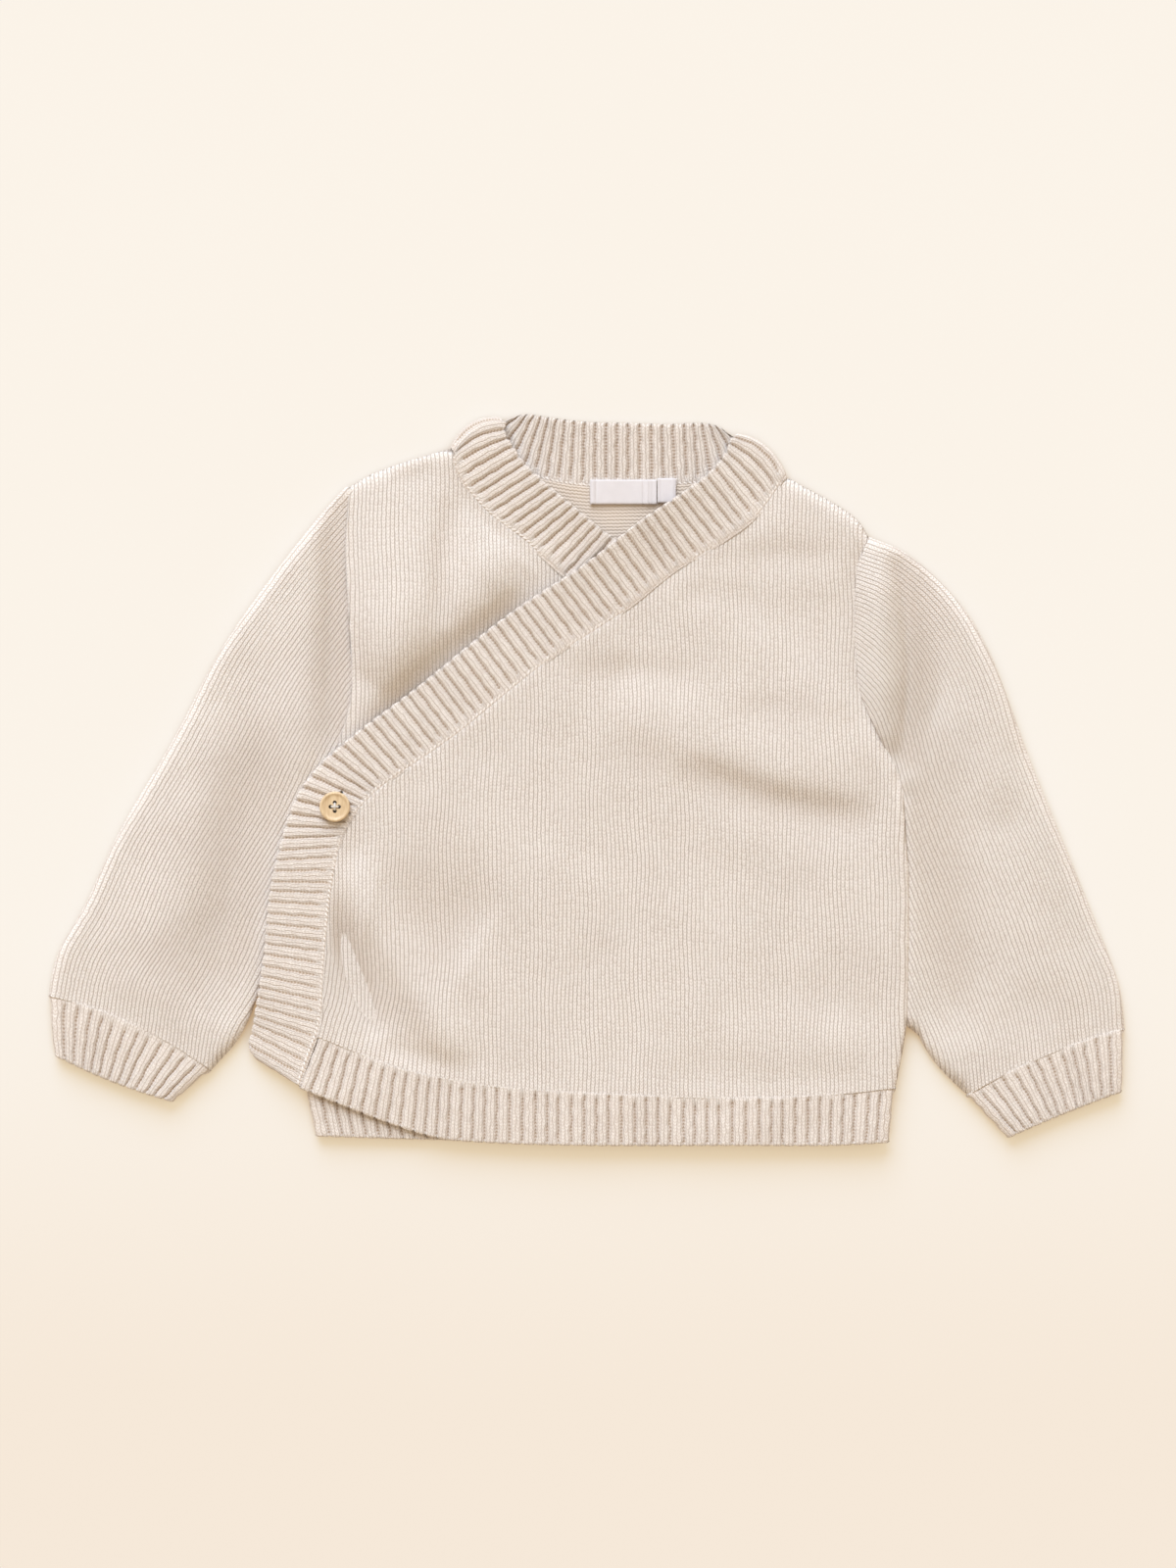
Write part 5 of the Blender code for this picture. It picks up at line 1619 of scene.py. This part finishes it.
class Finish:
    """A material whose nodes are laid by short calls."""

    def __init__(self, name, roughness=0.95, sheen=0.06, specular=0.1):
        self.material = bpy.data.materials.new(name)
        self.material.use_nodes = True
        self.tree = self.material.node_tree
        self.shader = self.tree.nodes["Principled BSDF"]
        for socket, value in (("Roughness", roughness), ("Sheen Weight", sheen),
                              ("Sheen Roughness", 0.6), ("Specular IOR Level", specular)):
            self.shader.inputs[socket].default_value = value

    def put(self, socket, value):
        if isinstance(value, Value):
            self.tree.links.new(value.socket, socket)
        else:
            socket.default_value = value

    def node(self, kind, values=None, output=0, **settings):
        """Adds a node and gives one of its outputs."""
        made = self.tree.nodes.new("ShaderNode" + kind)
        for key, value in settings.items():
            setattr(made, key, value)
        for socket, value in (values or {}).items():
            self.put(made.inputs[socket], value)
        return Value(self, made.outputs[output])

    def math(self, operation, *values):
        return self.node("Math", dict(enumerate(values)), operation=operation)

    def step(self, value, low, high, start=0.0, end=1.0):
        """A smooth rise from start to end while the value goes from low to high."""
        return self.node("MapRange", {
            "Value": value, "From Min": low, "From Max": high, "To Min": start, "To Max": end,
        }, interpolation_type="SMOOTHSTEP")

    def noise(self, place, scale, detail=2.0):
        return self.node("TexNoise", {"Vector": place, "Scale": scale, "Detail": detail})

    def mix(self, share_of, first, second):
        return self.node("Mix", {0: share_of, 6: first, 7: second}, 2, data_type="RGBA")

    def stitch_map(self):
        """The stitch map's place and its two distances, in millimetres."""
        place = self.node("UVMap", uv_map="stitches")
        return place, *(self.node("SeparateXYZ", {0: place}, k) for k in range(2))

    def from_middle(self, value):
        """How far a running number is from the middle of its own whole step, up to 0.5."""
        return abs(self.math("FRACT", value) - 0.5)

    def finish(self, shade, height, depth):
        """Gives the shader its colour, and a relief of this depth in millimetres."""
        self.put(self.shader.inputs["Base Color"], shade)
        bump = self.node("Bump", {"Height": height, "Strength": 1.0, "Distance": depth * MM})
        self.put(self.shader.inputs["Normal"], bump)
        return self.material


def rgba(value, dimmed=1.0):
    return (*(np.asarray(value) * dimmed).tolist(), 1.0)


def uneven_stitches(finish, unevenness):
    """The stitch map, with its two distances made slightly uneven."""
    place, *distances = finish.stitch_map()
    moved = (distance + (finish.noise(place, scale, 1.0) - 0.5) * unevenness
             for distance, scale in zip(distances, (0.31, 0.23)))
    return place, *moved


def plain_stitches(finish, across, up):
    """Height from 0 to 1 of plain stitches: two slanting legs to each stitch, as a V."""
    wale, course = cloth("wale"), cloth("course")
    number = finish.math("FLOOR", across / wale)
    offset = finish.node("TexWhiteNoise", {"W": number}, noise_dimensions="1D")
    up = offset * (WALE_SHIFT * course) + up
    cell = finish.node("CombineXYZ", {0: number, 1: finish.math("FLOOR", up / course)})
    chance = finish.node("TexWhiteNoise", {"Vector": cell}, noise_dimensions="2D")
    aside = finish.from_middle(across / wale) * 2.0
    from_stitch = finish.from_middle(up / course - aside * V_SLANT)
    crossing = finish.step(from_stitch, 0.2, 0.5) * (chance * 0.5 + 0.4)
    between = finish.math("MAXIMUM", finish.step(aside, 1.0, 0.6), crossing)
    leg = between * finish.step(aside, 0.0, 0.4, 0.75, 1.0)
    return leg * (finish.step(from_stitch, 0.5, 0.2) * 0.55 + 0.45) * (chance * 0.32 + 0.68)


def yarn_shade(finish, place, height, light, contrast, bounds=(-0.15, 1.15)):
    """The yarn's colour, with painted shade between stitches where their height is low, and mottled
    a little all over.
    """
    clouds = (finish.noise(place, 0.045, 3.0) - 0.5) * 0.22
    spots = (finish.noise(place, 1.7, 2.0) - 0.5) * 0.55
    share_of = (1.0 - height) * contrast + spots + clouds
    return finish.mix(finish.step(share_of, *bounds), rgba(light), rgba(colours().yarn_gap_shade_and_mottle))


def fuzzy(finish, place, height):
    """The height with loose fibres over it."""
    return finish.noise(place, 3.2, 3.0) * 0.55 + height


def once(name):
    """Makes a finish only the first time that it is asked for."""
    def keep(make):
        def found():
            return bpy.data.materials.get(name) or make(name)
        return found
    return keep


@once("cream plain knit")
def knit_finish(name):
    tones = colours()
    finish = Finish(name)
    place, across, up = uneven_stitches(finish, 0.7)
    height = plain_stitches(finish, across, up)
    shade = yarn_shade(finish, place, height, tones.yarn, 1.05, (0.18, 1.15))
    # painted shade: the yarn in a fold's hollow is mixed towards the groove colour
    sunk = finish.node("Attribute", output="Fac", attribute_name="groove")
    shade = finish.mix(sunk * HOLLOW_PAINTED_SHADE, shade, rgba(tones.groove))
    return finish.finish(shade, fuzzy(finish, place, height), 0.45)


@once("cream purl side")
def purl_finish(name):
    wale, course = cloth("wale"), cloth("course")
    finish = Finish(name)
    place, across, up = uneven_stitches(finish, 0.6)
    wavy = finish.math("COSINE", across * (math.tau / wale)) * 0.17
    height = finish.step(finish.from_middle(wavy + up / course), 0.5, 0.1)
    shade = yarn_shade(finish, place, height, colours().purl, 0.35)
    return finish.finish(shade, fuzzy(finish, place, height), 0.22)


@once("cream rib")
def rib_finish(name):
    tones = colours()
    finish = Finish(name)
    place, across, up = uneven_stitches(finish, 0.3)
    # painted shade: the yarn deep in a groove is mixed towards the groove colour, less on the purl
    # dots
    groove = finish.step(finish.node("Attribute", output="Fac", attribute_name="groove"), 0.18, 0.8)
    dot = finish.step(finish.from_middle(up / cloth("course")), 0.4, 0.12)
    height = plain_stitches(finish, across, up) * (1.0 - groove) + dot * 0.55 * groove
    shade = yarn_shade(finish, place, height, tones.yarn, 0.9)
    shade = finish.mix(groove * (1.0 - dot * 0.65), shade, rgba(tones.groove))
    return finish.finish(shade, fuzzy(finish, place, height), 0.3)


@once("cream linking yarn")
def link_finish(name):
    yarn = colours().yarn
    finish = Finish(name)
    height = finish.noise(finish.node("TexCoord", output="Object"), 2600.0, 3.0)
    shade = finish.mix(finish.step(height, 0.3, 0.8), rgba(yarn), rgba(yarn, 0.92))
    return finish.finish(shade, height, 0.2)


@once("pale wood")
def wood_finish(name):
    tones = colours()
    finish = Finish(name, 0.42, 0.0, 0.45)
    turned = finish.node("Mapping", {"Vector": finish.node("TexCoord", output="Object"),
                                     "Rotation": (0.0, 0.0, 0.5), "Scale": (1.0, 0.14, 1.0)})
    amount = finish.noise(turned, 260.0) * 0.5 + finish.noise(turned, 1500.0, 4.0) * 0.7
    shade = finish.mix(finish.step(amount, 0.38, 0.85), rgba(tones.wood), rgba(tones.wood_grain))
    return finish.finish(shade, finish.noise(turned, 5200.0), 0.05)


@once("white thread")
def thread_finish(name):
    tone = colours().thread
    finish = Finish(name, 0.7, 0.2, 0.3)
    _, across, down = finish.stitch_map()
    twist = finish.math("SINE", across * 6.0 + down * 9.0) * 0.5 + 0.5
    return finish.finish(finish.mix(twist, rgba(tone, 0.72), rgba(tone)), twist, 0.08)


@once("white woven satin")
def satin_finish(name):
    tone = colours().label
    finish = Finish(name, 0.45, 0.25, 0.5)
    place, across, down = finish.stitch_map()
    weft = finish.math("SINE", down * (math.tau / 0.34))
    warp = finish.math("SINE", across * (math.tau / 0.5))
    weave = weft * warp * 0.5 + 0.5
    amount = weave * 0.25 + finish.noise(place, 0.3) * 0.4
    return finish.finish(finish.mix(amount, rgba(tone), rgba(tone, 0.8)), weave, 0.05)


@once("pale floor")
def floor_finish(name):
    tones = colours()
    finish = Finish(name, 0.8, 0.0)
    place = finish.node("TexCoord", output="Object")
    up = finish.node("SeparateXYZ", {0: place}, 1)
    # painted shade: the floor's colour and glow fall off towards the bottom of the view, with a
    # little random mottle
    near = finish.step(up, -0.05, -0.30) + finish.noise(place, 6.0) * 0.15
    # painted shadow: where the cloth hems the floor in, its colour and glow grow darker and warmer
    contact_shade = finish.step(finish.node("AmbientOcclusion", {"Distance": 0.03}, "AO"), 0.8, 0.1)
    colour_of, glow_of = (
        finish.mix(contact_shade, finish.mix(near, rgba(shade), rgba(shade, fall)), rgba(shade, deep))
        for shade, fall, deep in ((tones.floor, (0.93, 0.88, 0.83), (0.9, 0.8, 0.62)),
                                  (tones.glow, (0.96, 0.91, 0.87), (0.62, 0.5, 0.42)))
    )
    # painted light: the floor glows though no lamp lies under it, which softens the shade on it
    finish.put(finish.shader.inputs["Emission Color"], glow_of)
    finish.put(finish.shader.inputs["Emission Strength"], 1.0)
    return finish.finish(colour_of, near, 0.0)


# ---- button, thread, labels, links


def carve(body, cutter):
    """Cuts the cutter's shape out of the body, and removes the cutter."""
    change = body.modifiers.new("cut", "BOOLEAN")
    change.operation = "DIFFERENCE"
    change.solver = "EXACT"
    change.object = cutter
    choose(body)
    bpy.ops.object.modifier_apply(modifier=change.name)
    bpy.data.objects.remove(cutter)


def choose(thing):
    """Makes this the only selected object, and the active one."""
    for other in bpy.context.selected_objects:
        other.select_set(False)
    thing.select_set(True)
    bpy.context.view_layer.objects.active = thing


def pick(thing, faces=None, edges=None):
    """In edit mode, selects only the faces or edges that pass the test."""
    solid = bmesh.from_edit_mesh(thing.data)
    for part in (*solid.verts, *solid.edges, *solid.faces):
        part.select_set(False)
    parts, test = (solid.faces, faces) if faces else (solid.edges, edges)
    for part in [part for part in parts if test(part)]:
        part.select_set(True)
    bmesh.update_edit_mesh(thing.data)


def heights_of(part):
    return [vertex.co.z for vertex in part.verts]


def make_button():
    """A turned wooden disc: a rounded rim round a shallow dish, with four holes."""
    sizes = bpy.context.scene.cardigan_button
    x, y = BUTTON_AT[0] * MM, BUTTON_AT[1] * MM
    base, radius, thickness = BUTTON_BASE * MM, sizes.diameter / 2, sizes.thickness
    bpy.ops.object.select_all(action="DESELECT")
    bpy.ops.mesh.primitive_cylinder_add(vertices=72, radius=radius, depth=thickness,
                                        location=(x, y, base + thickness / 2))
    button = bpy.context.object
    button.name = "wooden_button"
    bpy.ops.object.transform_apply(location=True)
    top = base + thickness
    tiny = 0.02 * MM
    bpy.ops.object.mode_set(mode="EDIT")
    pick(button, faces=lambda face: face.normal.z > 0.9)
    for width, depth in ((0.6, 0.0), (0.25, 0.45), (0.3, 0.45), (0.3, 0.1)):
        bpy.ops.mesh.inset(thickness=sizes.rim * width, depth=-sizes.dish * depth)
    for level, offset in ((top, 0.7 * MM), (base, 0.9 * MM)):
        pick(button, edges=lambda edge: all(abs(z - level) < tiny for z in heights_of(edge))
             and all(math.dist(v.co[:2], (x, y)) > radius - tiny for v in edge.verts))
        bpy.ops.mesh.bevel(offset=offset, segments=4)
    bpy.ops.object.mode_set(mode="OBJECT")
    for place in hole_places():
        bpy.ops.object.select_all(action="DESELECT")
        bpy.ops.mesh.primitive_cylinder_add(
            vertices=20, radius=sizes.hole / 2, depth=3 * thickness,
            location=(place[0] * MM, place[1] * MM, base + thickness / 2),
        )
        carve(button, bpy.context.object)
    choose(button)
    bpy.ops.object.shade_smooth_by_angle(angle=math.radians(38))
    button.data.materials.append(wood_finish())
    return button


def hole_places():
    """The four holes, at north, east, south and west."""
    offset = mm(bpy.context.scene.cardigan_button.hole_offset)
    for k in range(4):
        angle = k * math.pi / 2
        yield BUTTON_AT[0] + offset * math.cos(angle), BUTTON_AT[1] + offset * math.sin(angle)


def strand(path, radius, sides=10):
    """Points, faces and stitch map of one closed round strand along a path."""
    path = np.asarray(path, float)
    course = unit(np.gradient(path, axis=0))
    side = unit(np.cross(course, (0.31, 0.17, 0.93)))
    other = np.cross(course, side)
    turn = np.arange(sides) * math.tau / sides
    radius = np.broadcast_to(radius, len(path))[:, None, None]
    cos, sin = np.cos(turn)[None, :, None], np.sin(turn)[None, :, None]
    ring = cos * side[:, None] + sin * other[:, None]
    points = (path[:, None] + ring * radius).reshape(-1, 3)
    number = np.arange(len(points)).reshape(len(path), sides)
    turned_on = np.roll(number, -1, axis=1)
    faces = np.stack([number[:-1], turned_on[:-1], turned_on[1:], number[1:]], -1)
    faces = [*faces.reshape(-1, 4).tolist(), number[0, ::-1].tolist(), number[-1].tolist()]
    stitches = np.stack(np.broadcast_arrays(turn[None, :] * 0.3, lengths(path, 3)[:, None]), -1)
    return points, faces, stitches.reshape(-1, 2)


def joined(name, bodies, finish):
    """One object from several closed bodies."""
    points, faces, stitches, count = [], [], [], 0
    for body_points, body_faces, body_stitches in bodies:
        points.append(body_points)
        stitches.append(body_stitches)
        faces += [tuple(k + count for k in face) for face in body_faces]
        count += len(body_points)
    return make_mesh(name, np.vstack(points), faces, np.vstack(stitches), [0] * len(faces),
                     (finish,))


def make_thread():
    """Cross stitches over the button and down its holes, the ties below and the shank."""
    sizes = bpy.context.scene.cardigan_button
    radius, offset = mm(sizes.thread) / 2, mm(sizes.hole_offset)
    dish = BUTTON_BASE + mm(sizes.thickness - sizes.dish)
    low = BUTTON_BASE - 2.4 * radius
    bodies = []
    for turn, lift in ((0.0, 0.0), (math.pi / 2, 0.5)):
        for lane in (-0.55, 0.55):
            half = np.array([(-1, low), (-1, dish - 0.3), (-0.97, dish + 0.15),
                             (-0.8, dish + 0.36), (-0.4, dish + 0.45 + lift * 0.7),
                             (0, dish + 0.5 + lift)])
            reach, rise = np.vstack([half, half[-2::-1] * (-1, 1)]).T
            aside = lane * radius * 1.9 * (1 - 0.25 * reach**2)
            along_x = reach * offset * THREAD_REACH
            x = BUTTON_AT[0] + along_x * math.cos(turn) - aside * math.sin(turn)
            y = BUTTON_AT[1] + along_x * math.sin(turn) + aside * math.cos(turn)
            path = curve(np.column_stack([x, y, rise]), steps=4, columns=3)
            bodies.append(strand(path, radius))
    top, floor = BUTTON_BASE - 0.3, UNDER_LEVEL + cloth("knit_wall") / 2 + 0.3
    height = np.linspace(floor, top, 12)
    for k in range(3):
        angle = height * SHANK_TURN + k * math.tau / 3
        path = np.column_stack([BUTTON_AT[0] + SHANK * np.cos(angle),
                                BUTTON_AT[1] + SHANK * np.sin(angle), height])
        bodies.append(strand(path, SHANK_STRAND))
    return joined("sewing_thread", bodies, thread_finish())


def make_label(name, place, folds, lift):
    """A strip of woven satin folded in half at its lower edge and caught in the neck seam.

    Folds gives places across it, each with the width and height of a ridge or groove.
    """
    left, right, top, low = place
    across = np.linspace(left, right, round(right - left) * 4)
    bend = np.linspace(-math.pi / 2, math.pi / 2, 7)
    y = np.hstack([np.linspace(top, low + 0.6, 14)[:-1], low + 0.5 - 0.5 * np.cos(bend),
                   np.linspace(low + 0.6, top + 0.4, 14)[1:]])
    z = np.hstack([np.full(13, LABEL_FLOOR), LABEL_FLOOR + lift / 2 * (1 + np.sin(bend)),
                   np.linspace(LABEL_FLOOR + lift, LABEL_FLOOR + lift * 0.8, 13)])
    course = unit(np.column_stack([np.gradient(y), np.gradient(z)]))
    x, y = np.meshgrid(across, y)
    relief = 0.22 * np.sin((x - left) * 0.24 + 0.5)
    for at, width, height in folds:
        relief = relief + height * np.exp(-(((x - at) / width) ** 2))
    z = np.broadcast_to(z[:, None], x.shape) + np.where(z > LABEL_FLOOR, 1, 0)[:, None] * relief
    middle = np.stack([x, y, z], -1)
    outward = np.zeros_like(middle)
    outward[..., 1], outward[..., 2] = -course[:, 1, None], course[:, 0, None]
    down = lengths(np.column_stack([middle[:, 0, 1], middle[:, 0, 2]]))
    stitches = np.stack(np.broadcast_arrays(x, down[:, None]), -1)
    knitting = gridded(middle[..., :2], stitches, ["free"] * 4)
    half = np.full(len(knitting.plan), LABEL_CLOTH / 2)
    return shell(name, knitting, middle.reshape(-1, 3), outward.reshape(-1, 3), half, half,
                 (satin_finish(),) * 2)


def make_links():
    """The small slanting stitches of the row that links the neck band to the body."""
    rings = band_rings()
    wall = cloth("rib_wall")
    bodies = []
    for stretch, slope in (("over", 1), ("back", -1), ("under", 1)):
        line, heights = seam_of(rings[stretch])
        free = rings[stretch][:, :2]
        table = np.column_stack([line, heights, unit(free - line)])
        reach = lengths(line)
        for distance in np.arange(1.0, reach[-1], LINK_PITCH):
            x, y, z, in_x, in_y = read(table, distance, reach)
            inwards, course = np.array([in_x, in_y, 0]), np.array([in_y, -in_x, 0]) * slope
            middle = np.array([x, y, z + wall / 2 - LINK_SINK]) + inwards * LINK_INSET
            slant = inwards * LINK_WAY[0] + course * LINK_WAY[1]
            path = middle + LINK_SHAPE[:, :1] * slant * LINK_HALF
            path[:, 2] -= LINK_BOW * LINK_SHAPE[:, 0] ** 2
            bodies.append(strand(path, LINK_THICK * LINK_SHAPE[:, 1], 6))
    return joined("linking_stitches", bodies, link_finish())


# ---- stage


def make_stage():
    """A plain pale floor, a broad light from beyond the neck, and the camera straight above."""
    studio = bpy.context.scene.cardigan_studio
    bpy.ops.object.select_all(action="DESELECT")
    bpy.ops.mesh.primitive_plane_add(size=8, location=(0, 0, -0.0004))
    floor = bpy.context.object
    floor.name = "floor"
    bpy.ops.object.transform_apply(location=True)
    floor.data.materials.append(floor_finish())
    floor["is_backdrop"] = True
    lamp = bpy.data.lights.new("key light", "SUN")
    lamp.energy = studio.key
    lamp.angle = studio.softness
    lamp.color = KEY_COLOUR
    light = bpy.data.objects.new("key light", lamp)
    light.location = KEY_PLACE
    light.rotation_euler = (-Vector(KEY_PLACE)).to_track_quat("-Z", "Y").to_euler()
    bpy.context.scene.collection.objects.link(light)
    world = bpy.data.worlds.new("studio")
    world.use_nodes = True
    background = world.node_tree.nodes["Background"]
    background.inputs["Color"].default_value = rgba(FILL_COLOUR)
    background.inputs["Strength"].default_value = studio.fill
    bpy.context.scene.world = world
    bpy.context.scene.view_settings.view_transform = "Standard"
    camera = bpy.data.objects.new("camera", bpy.data.cameras.new("camera"))
    camera.location = (studio.centre_x, studio.centre_y, studio.height)
    camera.data.sensor_width = 36
    cloth_top = OVER_LEVEL * MM
    camera.data.lens = 36 * (studio.height - cloth_top) / studio.view
    camera.data.clip_end = 50
    bpy.context.scene.collection.objects.link(camera)
    bpy.context.scene.camera = camera


# ---- operators, panel and main


def cloth(name):
    """One of the cloth's sizes, in millimetres."""
    return mm(getattr(bpy.context.scene.cardigan_cloth, name))


def colours():
    return bpy.context.scene.cardigan_colours


def put_in_place(piece, nodes):
    """Rides the piece on the garment's one body, in the place of these solids."""
    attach(piece, "root")
    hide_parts(*nodes)
    return piece


def declare(piece, width):
    """Turns a knitted piece's width from millimetres into metres, and keeps nothing of it."""
    width * MM


class CARDIGAN_OT_back(bpy.types.Operator):
    """Adds the plain knit back"""

    bl_idname = "cardigan.back"
    bl_label = "Back"

    def execute(self, context):
        piece = put_in_place(make_back(), ["back"])
        declare(piece, 254)
        return {"FINISHED"}


class CARDIGAN_OT_fronts(bpy.types.Operator):
    """Adds the under front and the over front that crosses it"""

    bl_idname = "cardigan.fronts"
    bl_label = "Fronts"

    def execute(self, context):
        under = put_in_place(make_under_front(), ["under_front"])
        declare(under, 218)
        over = put_in_place(make_over_front(), ["over_front"])
        declare(over, 248)
        return {"FINISHED"}


class CARDIGAN_OT_hems(bpy.types.Operator):
    """Adds the ribbed hems of the back and both fronts"""

    bl_idname = "cardigan.hems"
    bl_label = "Hems"

    def execute(self, context):
        under_rows = [*HIDDEN_HEM_ROWS[:3], UNDER_HEM_END]
        left, right = SIDE_SEAM["left"], SIDE_SEAM["right"]
        for name, node, rows, level, ends, width, below in (
            ("back_hem", "hem_back", HIDDEN_HEM_ROWS, "back", (left - SEAM_GAP, right - SEAM_GAP),
             245, "floor"),
            ("under_front_hem", "hem_under_front", under_rows, "under", (left + SEAM_GAP, None),
             215, "back_hem"),
            ("over_front_hem", "hem_over_front", HEM_ROWS, "over", (None, right + SEAM_GAP),
             250, "under_front_hem"),
        ):
            piece = make_hem(name, rows, HEM_LEVELS[level], ends)
            put_in_place(piece, [node])
            declare(piece, width)
        return {"FINISHED"}


class CARDIGAN_OT_sleeves(bpy.types.Operator):
    """Adds the sleeves and their ribbed cuffs, each a flattened tube"""

    bl_idname = "cardigan.sleeves"
    bl_label = "Sleeves and cuffs"

    def execute(self, context):
        for side in ("left", "right"):
            sleeve = put_in_place(make_sleeve(side), [f"sleeve_{side}"])
            declare(sleeve, 190)
            cuff = put_in_place(make_cuff(side), [f"cuff_{side}"])
            declare(cuff, 150)
        return {"FINISHED"}


class CARDIGAN_OT_neck_band(bpy.types.Operator):
    """Adds the ribbed neck band with its buttonhole, and the stitches that link it on"""

    bl_idname = "cardigan.neck_band"
    bl_label = "Neck band"

    def execute(self, context):
        band = put_in_place(make_neck_band(), ["neck_band"])
        declare(band, 860)
        links = make_links()
        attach(links, "root")
        return {"FINISHED"}


class CARDIGAN_OT_button(bpy.types.Operator):
    """Adds the four-hole wooden button and the thread that holds it"""

    bl_idname = "cardigan.button"
    bl_label = "Button"

    def execute(self, context):
        put_in_place(make_button(), ["button"])
        put_in_place(make_thread(), ["button_thread"])
        return {"FINISHED"}


class CARDIGAN_OT_labels(bpy.types.Operator):
    """Adds the blank woven label and the small tab beside it"""

    bl_idname = "cardigan.labels"
    bl_label = "Labels"

    def execute(self, context):
        left, right = LABEL[:2]
        folds = ((left + 1.1, 0.9, 0.35), (left + 2.6, 0.35, -0.2), (right - 5.5, 0.4, -0.3),
                 (right - 3.6, 0.4, 0.3), (right - 1.6, 0.4, -0.25))
        label = put_in_place(make_label("neck_label", LABEL, folds, 0.8), ["label"])
        declare(label, 28)
        left, right = SIZE_TAB[:2]
        folds = ((left + 1.5, 0.5, -0.25), (right - 1.2, 0.6, 0.25))
        tab = put_in_place(make_label("small_tab", SIZE_TAB, folds, 1.0), ["size_tab"])
        declare(tab, 10)
        return {"FINISHED"}


class CARDIGAN_OT_stage(bpy.types.Operator):
    """Adds the floor, the lights and the camera"""

    bl_idname = "cardigan.stage"
    bl_label = "Stage"

    def execute(self, context):
        make_stage()
        return {"FINISHED"}


OPERATORS = (
    CARDIGAN_OT_back, CARDIGAN_OT_fronts, CARDIGAN_OT_hems, CARDIGAN_OT_sleeves,
    CARDIGAN_OT_neck_band, CARDIGAN_OT_button, CARDIGAN_OT_labels, CARDIGAN_OT_stage,
)
SETTINGS = (
    ("cardigan_cloth", ClothSizes), ("cardigan_button", ButtonSizes),
    ("cardigan_colours", CardiganColours), ("cardigan_studio", StudioSettings),
)


class CARDIGAN_PT_sidebar(bpy.types.Panel):
    """Sizes, colours and pieces of the cardigan"""

    bl_idname = "CARDIGAN_PT_sidebar"
    bl_label = "Baby wrap cardigan"
    bl_space_type = "VIEW_3D"
    bl_region_type = "UI"
    bl_category = "Cardigan"

    def draw(self, context):
        for name, group in SETTINGS:
            box = self.layout.box()
            for key in group.__annotations__:
                box.prop(getattr(context.scene, name), key)
        for operator in OPERATORS:
            self.layout.operator(operator.bl_idname)


def register():
    for _, group in SETTINGS:
        bpy.utils.register_class(group)
    for name, group in SETTINGS:
        setattr(bpy.types.Scene, name, bpy.props.PointerProperty(type=group))
    for kind in (*OPERATORS, CARDIGAN_PT_sidebar):
        bpy.utils.register_class(kind)


def unregister():
    for kind in reversed((*OPERATORS, CARDIGAN_PT_sidebar)):
        bpy.utils.unregister_class(kind)
    for name, group in SETTINGS:
        delattr(bpy.types.Scene, name)
        bpy.utils.unregister_class(group)


def main():
    register()
    for operator in OPERATORS:
        group, name = operator.bl_idname.split(".")
        getattr(getattr(bpy.ops, group), name)()
    [[list(corner) for corner in box] for box in (CAD_BOX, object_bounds())]


if __name__ == "__main__":
    main()
